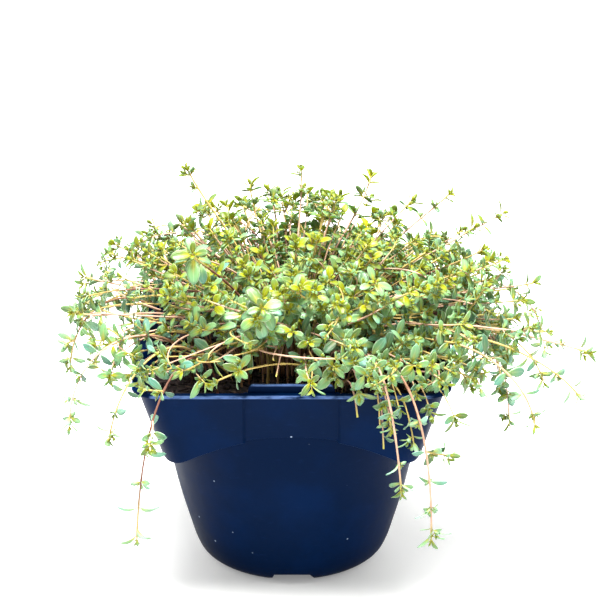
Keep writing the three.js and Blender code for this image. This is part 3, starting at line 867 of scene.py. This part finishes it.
def turned_leaves(root, tangent, away, rise, light, most):
    """axes and faces of leaves that rise from the stem and twist towards the light"""
    axis, upright = swung(away, tangent, rise), swung(tangent, -away, rise)
    towards = np.arctan2(dots(np.cross(upright, light), axis), dots(upright, light))
    limit = most * np.cos(rise[:, None]) ** 2
    twist = np.clip(towards, -limit, limit)[:, 0]
    return {"root": root, "axis": axis, "face": swung(upright, np.cross(axis, upright), twist)}


def leaf_batch(placed_leaves, length, width, age, rng, curl=LEAF_CURL, cup=LEAF_CUP):
    count = len(length)
    return {
        **placed_leaves, "length": length, "width": length * width, "age": age,
        "tint": rng.random(count), "curl": rng.uniform(*curl, count),
        "cup": rng.uniform(*cup, count),
    }


def pair_leaves(shoot, backs, lengths, rises, ages, rng):
    """both leaves of each pair"""
    count = 2 * len(backs)
    centre, tangent, side, over = (np.repeat(part, 2, axis=0) for part in shoot.sections(backs))
    level = np.repeat(np.arange(len(backs)), 2)
    angle = shoot.turn + (level % 2 + 2 * (np.arange(count) % 2)) * pi / 2
    away = swung(side, over, angle + rng.normal(0, TURN_SPREAD, count))
    radius = lerp(*shoot.corners, np.repeat(backs, 2) / shoot.length)[:, None] * sqrt(0.5)
    more = -GRAND_DROOP if shoot.head > 1 else shoot.habit.rise
    rise = np.minimum(np.repeat(rises, 2) + radians(more), STEEPEST)
    rise = rise + rng.normal(0, RISE_SPREAD, count)
    light, most = np.broadcast_to(light_on(shoot), away.shape), MOST_TWIST[level][:, None]
    root = centre + away * radius * IN_THE_BARK
    turned = turned_leaves(root, tangent, away, rise, light, most)
    grand = 1 + (shoot.head - 1) * HEAD_SHARE[level]
    length = np.repeat(lengths, 2) * shoot.size * shoot.habit.long * grand
    length = length * rng.uniform(*LENGTH_SPREAD, count)
    width = rng.uniform(*LEAF_WIDTH, count) * shoot.habit.broad
    age = np.clip(np.repeat(ages, 2) + shoot.age + rng.normal(0, AGE_SPREAD, count), 0, 1)
    return leaf_batch(turned, length, width, age, rng), away, tangent


def tuft_leaves(root, tangent, away, vigour, rng):
    """tiny leaves in the axils: three crossed pairs on each tuft"""
    count = len(root)
    heading = unit(away * TUFT_OUT + tangent + rng.normal(0, TUFT_LEAN_SPREAD, away.shape))
    side = unit(np.cross(heading, away))
    over = np.cross(heading, side)
    light = np.broadcast_to(UP, away.shape)
    batches = []
    for level, (back, length, rise) in enumerate(zip(TUFT_BACKS, TUFT_LENGTHS, TUFT_RISES)):
        for half_turn in (0, pi):
            angle = level * pi / 2 + half_turn + rng.normal(0, TUFT_TURN_SPREAD, count)
            out = swung(side, over, angle)
            start = root + heading * (back * vigour)[:, None]
            rises = rise + rng.normal(0, TUFT_RISE_SPREAD, count)
            turned = turned_leaves(start, heading, out, rises, light, TUFT_TWIST)
            lengths = length * vigour * rng.uniform(*TUFT_LENGTH_SPREAD, count)
            age = np.clip(rng.normal(0.1 + 0.2 * (2 - level), 0.1, count), 0, 1)
            batches.append(leaf_batch(turned, lengths, TUFT_WIDTH, age, rng, TUFT_CURL))
    return joined(batches)


def joined(batches):
    return {key: np.concatenate([batch[key] for batch in batches]) for key in batches[0]}


def kept(leaves, chosen):
    return {key: values[chosen] for key, values in leaves.items()}

# %% [markdown]
# ## Side shoots
# Lower on a stem, some axils hold a real side shoot instead of a tuft. It leaves the stem at
# a slant and bends up to the light. It is grown by the same rule as its stem, only thinner
# and with smaller leaves, and it makes the bush dense.

# %% Side shoots
SIDE_LENGTHS, SIDE_MOST = (6.0, 21.0), 0.75
SIDE_SIZE, SIDE_YOUNGER = 0.84, 0.1
SIDE_SPREAD = 0.2
SIDE_FROM_PAIR = 4


def side_shoot(parent, back, side_turn, rng):
    """a shoot that grows from the axil of the leaf on that side"""
    centre, tangent, side, over = (part[0] for part in parent.sections([back]))
    away = side * cos(side_turn) + over * sin(side_turn)
    length = min(rng.uniform(*SIDE_LENGTHS), SIDE_MOST * back)
    start = unit(away + 0.55 * tangent)
    light = unit(light_on(parent))
    heading = unit(0.35 * away + 0.75 * tangent + 0.5 * light + rng.normal(0, SIDE_SPREAD, 3))
    end = centre + start * length * 0.36 + heading * length * 0.66
    first, last = centre + start * length * 0.25, end - heading * length * 0.35
    line = bezier([centre, first, last, end], BRANCH_STEPS)
    across, turn = unit(np.cross(heading, away)), rng.uniform(0, pi)
    return Shoot(line, across, turn, SIDE_STEM, parent.size * SIDE_SIZE, SIDEWAYS,
                 age=parent.age - SIDE_YOUNGER)


def side_shoots(parent, rng):
    """pairs of axils from the fifth pair down, some of which hold a shoot"""
    found = []
    for level, back in list(enumerate(pair_backs(parent)))[SIDE_FROM_PAIR:]:
        if back > leafy_length(parent):
            break
        for half_turn in (0, 1):
            if rng.random() < parent.habit.side:
                turn = parent.turn + (level % 2 + 2 * half_turn) * pi / 2
                found.append(side_shoot(parent, back, turn, rng))
    return found


def leafy_length(shoot):
    """how far back from its tip a shoot carries leaves"""
    return shoot.habit.leafy * shoot.length


def pair_backs(shoot):
    """how far back from the tip each pair of leaves stands"""
    return PAIR_BACKS * shoot.size * shoot.habit.apart

# %% [markdown]
# ## Keeping clear of the pot
# No leaf or stem may grow through the wall or the lip. A few points of each leaf are tested
# against the pot's own sizes, and a leaf that would touch it is left out, as it would have
# been pushed aside on the plant. A boolean could cut it off at the wall, but half a leaf
# would look wrong.

# %% Keeping clear
POT_CLEAR = 0.6
TAB_BAND = 3.0
INSIDE_HALF = COLLAR_HALF - COLLAR_TAPER * (RIM_HEIGHT - SOIL_HEIGHT) - PANEL_RECESS - WALL


def clear_of_pot(points):
    x, y, z = points[..., 0], points[..., 1], points[..., 2]
    square = np.maximum(np.abs(x), np.abs(y))
    by_tab = (np.abs(x) < TAB_HALF + POT_CLEAR) & (np.abs(y) > COLLAR_HALF - TAB_BAND)
    above = z > np.where(by_tab, RIM_HEIGHT + TAB_HEIGHT, RIM_HEIGHT) + POT_CLEAR
    outside = np.where(z > RIM_HEIGHT - LIP_THICK - POT_CLEAR, LIP_HALF, COLLAR_HALF) + POT_CLEAR
    inside = (z > SOIL_HEIGHT - FOOT_DEPTH - 1) & (square < INSIDE_HALF - POT_CLEAR)
    return above | (square > outside) | inside


def leaf_probes(leaves):
    """five points of each leaf: along its midrib and at its margins"""
    root, axis, face = leaves["root"], leaves["axis"], leaves["face"]
    width = np.cross(axis, face) * leaves["width"][:, None] / 2
    length = leaves["length"][:, None]
    middle = root + axis * length * 0.5
    end = root + axis * length - face * length * np.sin(leaves["curl"] / 2)[:, None]
    return np.stack([root, middle, end, middle + width, middle - width], 1)

# %% [markdown]
# ## Gathering a piece
# Each leaf could be an object, but thousands of objects are slow to work with. So all that
# belongs to one piece is gathered as corners and four-sided faces, with two maps.
# The map `blade` holds where on its leaf a point lies, for the veins and the margin, and the
# map `growth` holds how old the leaf or stem is and a draw of its own, for its colour.

# %% A bunch of stems and leaves
STEM_STEP = 2.6
NODE_SWELL = 1.28
TIP_TAPER = 0.4
OLDEST_STEM, OLDEST_SIDE = 85.0, 60.0
BARK = 2


class Bunch:
    def __init__(self):
        self.parts, self.count, self.leaves = [], 0, 0

    def take(self, points, faces, blade, growth, kinds):
        self.parts.append((points, faces + self.count, blade, growth, kinds))
        self.count += len(points)

    def add_leaves(self, leaves, grid):
        number = len(leaves["length"])
        points = lay_leaves(leaves, grid)
        size = points.shape[1]
        faces = grid["faces"][None] + size * np.arange(number)[:, None, None]
        blade = np.tile(np.stack([grid["v"] / 2 + 0.5, grid["u"]], 1), (number, 1))
        growth = np.repeat(np.stack([leaves["age"], leaves["tint"]], 1), size, axis=0)
        kinds = np.tile(grid["kinds"], number)
        self.take(points.reshape(-1, 3), faces.reshape(-1, 4), blade, growth, kinds)
        self.leaves += number

    def add_stem(self, shoot, rng, oldest):
        """a square tube that swells a little where each pair of leaves grows"""
        steps = max(4, int(shoot.length / STEM_STEP))
        backs = np.linspace(shoot.length, 0, steps)
        centre, _, side, over = shoot.sections(backs)
        radius = lerp(*shoot.corners, backs / shoot.length)
        nearest = np.min(np.abs(backs[:, None] - pair_backs(shoot)), axis=1)
        radius = radius * np.where(nearest < STEM_STEP / 2, NODE_SWELL, 1.0)
        radius[-1] *= 1.0 if shoot.habit is CUT_OFF else TIP_TAPER
        angle = shoot.turn + (np.arange(4) - 0.5) * pi / 2
        out = swung(side[:, None], over[:, None], angle)
        points = (centre[:, None] + out * radius[:, None, None]).reshape(-1, 3)
        ring = np.array([[i, (i + 1) % 4, (i + 1) % 4 + 4, i + 4] for i in range(4)])
        faces = (ring[None] + 4 * np.arange(steps - 1)[:, None, None]).reshape(-1, 4)
        last = 4 * (steps - 1)
        faces = np.concatenate([[[3, 2, 1, 0]], faces, [[last, last + 1, last + 2, last + 3]]])
        blade = np.stack([np.tile([0, 1, 0, 1], steps), np.repeat(backs / 10, 4)], 1)
        age = np.clip(np.repeat(backs, 4) / oldest, 0, 1)
        growth = np.stack([age, np.full(len(age), rng.random())], 1)
        self.take(points, faces, blade, growth, np.full(len(faces), BARK))

    def build(self, name, slot, replaced=()):
        points, faces, blade, growth, kinds = (
            np.concatenate(part) for part in zip(*self.parts))
        piece = new_piece(name, points, faces.tolist(), THYME_SKINS, slot, replaced)
        piece.data.polygons.foreach_set("material_index", kinds.astype(np.int32))
        for title, values in (("blade", blade), ("growth", growth)):
            layer = piece.data.uv_layers.new(name=title)
            layer.data.foreach_set("uv", values[faces.ravel()].astype(np.float32).ravel())


# %% Dressing a shoot
BIG_ENOUGH = 4.6
TUFT_FROM = 3
GRAND_WHOLE = 2
TUFT_VIGOUR = (0.6, 1.5)


def dress(bunch, shoot, rng, allowed):
    """adds a shoot's pairs of leaves and the tufts in their axils"""
    backs = pair_backs(shoot)
    used = backs < leafy_length(shoot)
    leaves, away, tangent = pair_leaves(
        shoot, backs[used], PAIR_LENGTHS[used], PAIR_RISES[used], PAIR_AGES[used], rng,
    )
    level = np.repeat(np.arange(len(PAIR_BACKS))[used], 2)
    whole = TUFT_FROM + GRAND_WHOLE * (shoot.head > 1)
    chosen = rng.random(len(level)) < np.where(level < whole, 1.0, shoot.habit.leaf)
    axils = (level >= TUFT_FROM) & (rng.random(len(level)) < shoot.habit.tuft)
    tufts = []
    if axils.any():
        vigour = rng.uniform(*TUFT_VIGOUR, axils.sum())
        tufts = [tuft_leaves(leaves["root"][axils], tangent[axils], away[axils], vigour, rng)]
    grown = joined([kept(leaves, chosen), *tufts])
    probes = leaf_probes(grown)
    grown = kept(grown, clear_of_pot(probes).all(axis=1) & allowed(probes))
    big = grown["length"] > BIG_ENOUGH
    bunch.add_leaves(kept(grown, big), BIG_LEAF)
    bunch.add_leaves(kept(grown, ~big), SMALL_LEAF)


def anywhere(probes):
    return np.ones(len(probes), bool)


def grow(bunch, shoot, seed, allowed=anywhere):
    """a whole stem: itself, and the side shoots that stay clear of the pot"""
    rng = np.random.default_rng(seed)
    bunch.add_stem(shoot, rng, OLDEST_STEM)
    dress(bunch, shoot, rng, allowed)
    for side in side_shoots(shoot, rng):
        if clear_of_pot(side.line).all() and allowed(side.line[None, ::6])[0]:
            bunch.add_stem(side, rng, OLDEST_SIDE)
            dress(bunch, side, rng, allowed)

# %% [markdown]
# ## Leaf and bark
# A young thyme leaf is golden green. It turns a pale grey-green as it ages, keeps a cream
# margin, and often stays golden near its stalk. The upper side is satin, the underside paler
# and dull. Light also passes through a leaf, most of all a young one, so part of each shader
# is Translucent. A picture of one leaf would make all of them alike. The two maps give each
# leaf its own age and tint instead, and place its veins and margin. The bark starts olive,
# turns tan and pink, and is brown where the stem gets woody.

# %% Thyme leaf
VEIN_PAIRS = 4
LEAF_MOTTLE, BARK_FLECK = 1.6, 1.2
SEE_THROUGH, YOUNG_SEE_THROUGH = 0.36, 0.2


def uv_parts(tree, name):
    x, y, _ = split(add(tree, "UVMap", uv_map=name).outputs["UV"])
    return x, y


def leaf_skin(name, colours, margin_colour, heart_colour, dullness):
    material, tree, place = new_material(name)
    (across, along), (age, tint) = uv_parts(tree, "blade"), uv_parts(tree, "growth")
    mottle = noise(place, LEAF_MOTTLE, 2)
    young, grown, old = colours
    ripe = plus(age, times(maths("SUBTRACT", along, 0.45), 0.6))
    colour = layered(paint(young), (ramp(ripe, 0.04, 0.5), grown), (ramp(ripe, 0.55, 1.15), old))
    deep = times(ramp(tint, 0.55, 0.9), 0.8)
    colour = blended(deep, colour, blended(age, paint(0x74881A), paint(0x36624A)))
    off_midrib = maths("ABSOLUTE", maths("SUBTRACT", across, 0.5))
    near_stalk = ramp(plus(along, off_midrib), 0.78, 0.2)
    yellow = times(times(near_stalk, ramp(age, 0.95, 0.45)), 0.95)
    margin = times(ramp(plus(off_midrib, times(mottle, 0.12)), 0.44, 0.56), 0.5)
    midrib = times(ramp(off_midrib, 0.06, 0.01), 0.15)
    colour = layered(colour, (yellow, heart_colour), (margin, margin_colour),
                     (midrib, margin_colour))
    slanted = maths("SUBTRACT", along, times(off_midrib, 0.9))
    veins = maths("SINE", times(slanted, VEIN_PAIRS * 2 * pi))
    relief = plus(times(veins, 0.12), mottle)
    skin = surface(colour, dullness, 0.6, relief, 0.25, 0.12, IOR=1.45)
    through = add(tree, "BsdfTranslucent", {"Color": colour}).outputs[0]
    passed = plus(times(ramp(age, 0.6, 0.0), YOUNG_SEE_THROUGH), SEE_THROUGH)
    return finished(material, add(tree, "MixShader", {0: passed, 1: skin, 2: through}).outputs[0])


leaf_upper = leaf_skin("thyme_leaf_upper", (0xB2BA12, 0x84B072, 0x649C86),
                       margin_colour=0xE2E8CC, heart_colour=0xB4A602, dullness=0.34)
leaf_under = leaf_skin("thyme_leaf_underside", (0xB2BC38, 0x9AC292, 0x8AB4A0),
                       margin_colour=0xE2EAD8, heart_colour=0xB8AE2C, dullness=0.6)


# %% Thyme bark
def thyme_bark():
    material, tree, place = new_material("thyme_bark")
    age, tint = uv_parts(tree, "growth")
    flecks = noise(place, BARK_FLECK, 3)
    colour = layered(
        paint(0xB0AA4C), (ramp(age, 0.0, 0.12), 0xC09A82), (ramp(age, 0.35, 0.95), 0x94684C),
        (times(ramp(tint, 0.38, 0.5), ramp(age, 1.0, 0.5)), 0xB29C58),
        (ramp(age, 0.8, 1.0), 0x4A362C),
        (times(ramp(tint, 0.8, 0.86), ramp(age, 0.05, 0.3)), 0x6B4434),
        (times(ramp(flecks, 0.52, 0.7), 0.35), 0x94594A),
    )
    return finished(material, surface(colour, 0.62, 0.35, flecks, 0.5, 0.2))


THYME_SKINS = [leaf_upper, leaf_under, thyme_bark()]
print("made", [skin.name for skin in THYME_SKINS])

# %% [markdown]
# ## The stems of the construction model
# Each solid stem is now replaced by its finer sprig.

# %% Main stems
YOUNG_HEIGHT = 32.0
MAIN_SEED = 1000
leaf_count = 0
for number, (node, stem) in enumerate(main_stems.items()):
    bunch = Bunch()
    grow(bunch, stem, MAIN_SEED + number)
    slot = "young_leaf" if stem.line[-1][2] > RIM_HEIGHT + YOUNG_HEIGHT else "mature_leaf"
    bunch.build(node.replace("thyme_stem", "thyme_sprig"), slot, [node])
    leaf_count += bunch.leaves
print("the main stems carry", leaf_count, "leaves")

# %% [markdown]
# ## The inside of the bush
# The construction model has only the stems that give the bush its form. The real plant has a
# few hundred more, shorter and thinner, under and between them. They follow the same kind
# of arch, to tips on smaller domes inside the first. In the photograph the soil shows in a
# gap over the front of the rim, and the pot's front is bare, so those places stay open.

# %% Places that stay open, as pixels of the photograph
GAP_IN_PHOTO = (168, 350, 320, 390)
FRONT_IN_PHOTO = (205, 392, 335, 590)
PHOTO_SIZE = 600


def photo_place(points):
    """where points show in the photograph, in its pixels"""
    forward = unit(CAMERA_TARGET - CAMERA_PLACE)
    right = unit(np.cross(forward, UP))
    seen = points - CAMERA_PLACE
    scale = PHOTO_SIZE * LENS / SENSOR
    return [PHOTO_SIZE / 2 + scale * (seen @ way) / (seen @ forward)
            for way in (right, np.cross(forward, right))]


def in_photo(points, region):
    """which points on the near side show inside a region"""
    x, y = photo_place(points)
    left, top, right, bottom = region
    return (x > left) & (x < right) & (y > top) & (y < bottom) & (points[..., 1] < 0)


def leaves_open(probes):
    """whether a leaf shows in neither of the places that stay open"""
    return ~(in_photo(probes, GAP_IN_PHOTO) | in_photo(probes, FRONT_IN_PHOTO)).any(axis=1)


# %% Filling sprigs
SECTORS = 10
FILL_SHELLS = [(120, 0.95, 100), (84, 0.83, 82), (56, 0.68, 62), (30, 0.5, 50)]
FILL_TOP = 0.86
SHELL_TURN = 0.7
HANGING_BELOW = 4
THIN_LEFT, THIN_BELOW, THIN_KEPT = -52.0, 26.0, 5
FILL_SEED, FILL_STEM_SEED, FILL_LEAF_SEED, SHELL_SEEDS = 5, 5000, 7000, 200

fill_rng = np.random.default_rng(FILL_SEED)
sectors = [Bunch() for _ in range(SECTORS)]


def sector_of(shoot):
    """the piece for the side of the bush on which a shoot ends"""
    x, y = shoot.line[-1][:2]
    return sectors[int((atan2(y, x) / (2 * pi) % 1) * SECTORS)]


def grow_if_clear(shoot, seed):
    """grows a shoot that stays clear of the pot, and leaves the open places open"""
    if clear_of_pot(shoot.line).all():
        grow(sector_of(shoot), shoot, seed, leaves_open)


def thinned(tip, number):
    """whether a tip is left out low on the left, where the bush is thin"""
    return tip[0] < THIN_LEFT and tip[2] < THIN_BELOW and number % THIN_KEPT


for shell, (tips, scale, lowest) in enumerate(FILL_SHELLS):
    for number in range(tips):
        tip = dome_tip(number, tips, radians(lowest)) * scale * fill_rng.uniform(0.93, 1.07)
        tip = spun(tip, SHELL_TURN * shell)
        tip = past_lip(tip) if tip[2] < HANGING_BELOW else tip * [1, 1, FILL_TOP]
        if hides_front(tip) or thinned(tip, number):
            continue
        seed, spread = SHELL_SEEDS * shell + number, fill_rng.uniform(0.4, 0.95)
        sprig = plan_stem(over_rim(tip), FILL_STEM_SEED + seed, spread, FILL_STEM)
        grow_if_clear(sprig, FILL_LEAF_SEED + seed)

# %% [markdown]
# ## Standing sprigs, and more on the right
# Over the top of the dome the photograph shows many thin shoots that stand up, each with its
# head in the light. They start nearer to the middle than the filling and end on the dome or
# just past it. The bush is also fuller and reaches further on its right, so some more sprigs
# lie there, and a few end past the dome.

# %% Standing sprigs
STANDING, STANDING_SEED = 64, 15000
for number in range(STANDING):
    up = min(0.999, fill_rng.uniform(0.66, 1.0))
    tip = dome_at(up, number * GOLDEN_ANGLE + 0.5, fill_rng.uniform(0.92, 1.1))
    sprig = plan_stem(tip, STANDING_SEED + number, fill_rng.uniform(0.8, 1.3), STANDING_STEM)
    grow(sector_of(sprig), sprig, STANDING_SEED + number, leaves_open)
print("the filling and the standing sprigs carry", sum(b.leaves for b in sectors), "leaves")


# %% More sprigs on the right, where the bush is fullest
RIGHT_SPRIGS, RIGHT_SEED = 24, 16000
FAR_SPRIGS, FAR_SEED = 11, 16100
for number in range(RIGHT_SPRIGS):
    up, turn = fill_rng.uniform(0.05, 0.7), fill_rng.uniform(-0.9, 0.6)
    tip = dome_at(up, turn, fill_rng.uniform(0.94, 1.18))
    sprig = plan_stem(tip, RIGHT_SEED + number, fill_rng.uniform(0.5, 1.0), FILL_STEM)
    grow_if_clear(sprig, RIGHT_SEED + number)
for number in range(FAR_SPRIGS):
    tip = over_rim([fill_rng.uniform(*span) for span in ((86, 114), (-50, 30), (-26, 36))])
    grow_if_clear(plan_stem(tip, FAR_SEED + number, 1.0, FILL_STEM), FAR_SEED + number)

# %% [markdown]
# ## Creeping sprigs
# Some thin stems lean over at once and lie low across the soil, and their heads rest on the
# lip or just past it. A few that the photograph shows are listed one by one. The others follow
# the golden angle round the pot. Three bare stems over the front of the lip were cut off.

# %% Creeping sprigs
SEEN_CREEPERS = [
    ((-34, -67, 6), (-44, -14), (-14, 6, 4)), ((-31, -67, 7), (18, -34), (14, -8, 2)),
    ((-61, -66, 5), (-40, -22), (0, 0, 2)), ((8, -69, 4), (10, -34), (0, 0, 8)),
    ((18, -68, 8), (10, -36), (0, 0, 0)), ((27, -71, 2), (22, -34), (0, 0, 2)),
    ((35, -69, 11), (30, -36), (0, 0, 0)), ((43, -72, -3), (34, -30), (0, 0, 2)),
    ((50, -73, 3), (40, -34), (0, 0, 0)), ((56, -72, -6), (42, -28), (0, 0, 2)),
    ((62, -70, 7), (40, -36), (0, 0, 0)), ((40, -73, -12), (28, -38), (0, 0, 3)),
    ((49, -78, -16), (36, -38), (0, -4, 3)), ((66, -72, -9), (46, -34), (0, 0, 2)),
]
CUT_ENDS = [((26.5, -70, -7), (20, -40)), ((35.5, -71, -10), (30, -40)),
            ((37, -72, -20), (33, -42))]
CUT_BEND = (0, -2, 4)
CREEP_SEED, CUT_SEED, GRAND_SEED, ROUND_SEED = 9000, 9050, 9080, 9100
CREEPERS, CREEP_REACH, CREEP_HEIGHTS, SQUARE_FROM = 44, (64, 74), (-6, 13), 0.8

for number, (tip, root, bend) in enumerate(SEEN_CREEPERS):
    creeper = plan_creeper(over_rim(tip), CREEP_SEED + number, root, bend)
    grow(sector_of(creeper), creeper, CREEP_SEED + number)
for number, (tip, root) in enumerate(CUT_ENDS):
    cut = plan_creeper(over_rim(tip), CUT_SEED + number, root, CUT_BEND)
    cut.habit = CUT_OFF
    sector_of(cut).add_stem(cut, fill_rng, OLDEST_SIDE)
for number in range(CREEPERS):
    turn = number * GOLDEN_ANGLE
    flat = np.array([cos(turn), sin(turn), 0]) * fill_rng.uniform(*CREEP_REACH)
    flat = flat / max(SQUARE_FROM, np.max(np.abs(unit(flat))))
    tip = flat + UP * (RIM_HEIGHT + fill_rng.uniform(*CREEP_HEIGHTS))
    if not in_front(tip):
        grow_if_clear(plan_creeper(tip, ROUND_SEED + number), ROUND_SEED + number)

# %% [markdown]
# ## Grand heads
# A few shoots at the front of the dome end in large open heads, stars of leaves that look
# straight at the camera. They are the plainest shapes in the photograph, so three of them
# are listed, each with the direction that it faces and how far it is turned.

# %% Grand heads
SEEN_GRAND = [
    ((-11.6, -71, 41), (0.05, -0.85, 0.55), 0.35), ((-39.2, -57, 58), (-0.1, -0.8, 0.6), 0.1),
    ((-14, -70, 36), (-0.25, -0.9, 0.3), 0.5),
]
for number, (tip, heading, turn) in enumerate(SEEN_GRAND):
    head = plan_grand(over_rim(tip), heading, turn)
    grow(sector_of(head), head, GRAND_SEED + number)

# %% [markdown]
# ## Straggling sprigs
# Long thin stems also come out of the bush half way and lie across it, bare but for their
# heads. They give the open, wiry look that tells thyme from a clipped shrub.

# %% Straggling sprigs
STRAGGLERS, STRAGGLE_SEED = 90, 12000
for number in range(STRAGGLERS):
    straggler = plan_straggler(number, fill_rng)
    if not in_photo(straggler.line, FRONT_IN_PHOTO).any():
        grow_if_clear(straggler, STRAGGLE_SEED + number)
for number, bunch in enumerate(sectors):
    bunch.build(f"filling_sprigs_{number + 1:02d}", "mature_leaf")
    leaf_count += bunch.leaves
print("with the filling sprigs the bush has", leaf_count, "leaves")

# %% [markdown]
# ## The potting soil
# The soil is dark peat. Its top is crumbly, with bits of bark and pale fibres lying on it,
# and it ends about 11 mm under the rim. The plug is a loft like the pot's. A bump in the
# material would leave its top flat from the side, so the crumbs are small rough lumps that
# are sunk half into it.

# %% Peat
CRUMB_SIZE, BIT_SPACING = 2.2, 1.8


def peat():
    material, tree, place = new_material("peat_potting_soil")
    crumbs = noise(place, CRUMB_SIZE, 5)
    bit = times(ramp(cells(place, BIT_SPACING)["Color"], 0.82, 0.95), 0.6)
    colour = layered(paint(0x0D0A0A), (ramp(crumbs, 0.35, 0.7), 0x2E2221), (bit, 0x5A463C))
    return finished(material, surface(colour, 0.92, 0.25, crumbs, 0.9, 1.2))


# %% The soil's plug
SOIL_INSET = WALL + 0.35
LOOSER, FOOT_LOOSER = 0.3, 0.6
SOIL_RINGS = 26
PLUG_HEIGHTS, PLUG_TOP = np.linspace(9, 74, 8), RIM_HEIGHT - 17


def soil_bump(x, y):
    """how far the soil's top stands above its mean height"""
    slow = 1.1 * np.sin(x / 13 + 1) * np.cos(y / 15)
    return slow + 0.5 * np.sin(x / 4.1 + y / 6.3) + 0.35 * np.sin(y / 2.9 - x / 3.7)


soil_edge = collar_outline(SOIL_HEIGHT, SOIL_INSET)
plug = [centre + UP * POT_FLOOR,
        round_points(BODY_RADII[1] - SOIL_INSET - FOOT_LOOSER, POT_FLOOR + 0.2)]
plug += [round_points(body_radius(z) - SOIL_INSET - LOOSER, z) for z in PLUG_HEIGHTS]
plug.append(collar_at(PLUG_TOP, SOIL_INSET + LOOSER))
for share in np.linspace(1, 0, SOIL_RINGS):
    flat = soil_edge * share
    plug.append(at_height(flat, SOIL_HEIGHT + soil_bump(flat[:, 0], flat[:, 1])))
soil_parts = [loft(np.array(plug))]
print("the plug has", len(soil_parts[0][1]), "faces")


# %% Crumbs and fibres
CRUMBS, CRUMB_SIZES = 900, (0.5, 1.9)
FIBRES, FIBRE_LENGTHS, FIBRE_WIDTHS = 150, (3, 11), (0.12, 0.35)
FROM_WALL, SUNK, FIBRE_RISE = 2.5, 0.2, 0.5
SOIL_SEED = 21
soil_rng = np.random.default_rng(SOIL_SEED)


def lump(place, size):
    """a crumb: a small ball of twenty faces with its corners pushed about"""
    crumb = bmesh.new()
    bmesh.ops.create_icosphere(crumb, subdivisions=1, radius=1)
    points = np.array([v.co for v in crumb.verts]) * soil_rng.uniform(0.6, 1.25, (12, 1))
    faces = [[v.index for v in face.verts] for face in crumb.faces]
    crumb.free()
    return points * size * soil_rng.uniform(0.6, 1.2, 3) + place, faces


def fibre(place):
    """a thin square stick, lying nearly flat"""
    length, thick = soil_rng.uniform(*FIBRE_LENGTHS), soil_rng.uniform(*FIBRE_WIDTHS)
    turn = soil_rng.uniform(0, pi)
    heading = unit(np.array([cos(turn), sin(turn), soil_rng.uniform(-0.12, 0.25)]))
    side = unit(np.cross(heading, UP)) * thick
    over = np.cross(side, heading)
    points = [place + end * heading * length / 2 + a * side + b * over for end in (-1, 1)
              for a, b in ((-1, -1), (1, -1), (1, 1), (-1, 1))]
    faces = [[0, 1, 2, 3], [7, 6, 5, 4]]
    return np.array(points), faces + [[i + 4, (i + 1) % 4 + 4, (i + 1) % 4, i] for i in range(4)]


reach = INSIDE_HALF - FROM_WALL
for number in range(CRUMBS + FIBRES):
    x, y = soil_rng.uniform(-reach, reach, 2)
    place = np.array([x, y, SOIL_HEIGHT + soil_bump(x, y) + SUNK])
    soil_parts.append(lump(place, soil_rng.uniform(*CRUMB_SIZES)) if number < CRUMBS
                      else fibre(place + UP * FIBRE_RISE))
soil_faces, offset = [], 0
for points, faces in soil_parts:
    soil_faces += [[corner + offset for corner in face] for face in faces]
    offset += len(points)
soil_points = np.concatenate([points for points, _ in soil_parts])
soil = new_piece("potting_soil", soil_points, soil_faces, [peat()], "potting_soil", ["soil"])
soil.data.polygons.foreach_set("use_smooth", np.zeros(len(soil.data.polygons), bool))
print("the soil has", CRUMBS, "crumbs and", FIBRES, "fibres")

# %% [markdown]
# ## Floor and light
# The photograph is a bright product shot on white, with one soft shadow around the pot's
# foot. A wide white floor and a white sky give that, with a large soft lamp almost straight
# above, which models the leaves and leaves the inside of the bush dark. The floor also glows
# a little, as a light table does, and glows less round the foot, so that only the shadow at
# the foot is left. The camera sees the sky a little brighter than it lights the plant.

# %% Floor and light
FLOOR_HALF = 6000.0
SHADOW_BEHIND, SHADOW_FROM, SHADOW_TO = 34, 14, 62
GLOW_AT_FOOT, MORE_GLOW = 0.2, 0.32
SKY_LIGHT, SKY_SEEN_MORE = 0.85, 0.2
LAMP_PLACE, LAMP_TARGET = np.array([0, -100, 1440]), np.array([0, 0, 110])
LAMP_SIZE, LAMP_WATTS = 800, 94

corners = [[x * FLOOR_HALF, y * FLOOR_HALF, 0] for x, y in ((-1, -1), (1, -1), (1, 1), (-1, 1))]
floor_mesh = new_mesh("floor", np.array(corners), [(0, 1, 2, 3)])
floor = placed("floor", floor_mesh)
floor_paint, tree, place = new_material("white_matt_floor")
shift = {"Vector": place, "Location": (0, SHADOW_BEHIND * MM, 0)}
from_foot = add(tree, "Mapping", shift).outputs[0]
away = add(tree, "VectorMath", {0: from_foot}, operation="LENGTH").outputs["Value"]
far_off = ramp(away, SHADOW_FROM * MM, SHADOW_TO * MM)
floor_mesh.materials.append(finished(floor_paint, add(tree, "BsdfPrincipled", {
    "Base Color": paint(0xD8D8D6), "Roughness": 0.8, "Specular IOR Level": 0.1,
    "Emission Color": paint(0xFFFFFF),
    "Emission Strength": plus(times(far_off, MORE_GLOW), GLOW_AT_FOOT),
}).outputs[0]))

world = bpy.data.worlds.new("studio")
bpy.context.scene.world = world
world.use_nodes = True
sky = world.node_tree.nodes["Background"].inputs
sky["Color"].default_value = (1, 1, 1, 1)
seen = add(world.node_tree, "LightPath").outputs["Is Camera Ray"]
world.node_tree.links.new(plus(times(seen, SKY_SEEN_MORE), SKY_LIGHT), sky["Strength"])

lamp = bpy.data.lights.new("key", "AREA")
lamp.shape, lamp.size, lamp.energy = "DISK", LAMP_SIZE * MM, LAMP_WATTS
aim(placed("key", lamp), LAMP_PLACE, LAMP_TARGET)
bpy.context.scene.view_settings.view_transform = "Standard"
print("the lamp hangs", LAMP_PLACE[2], "mm up")
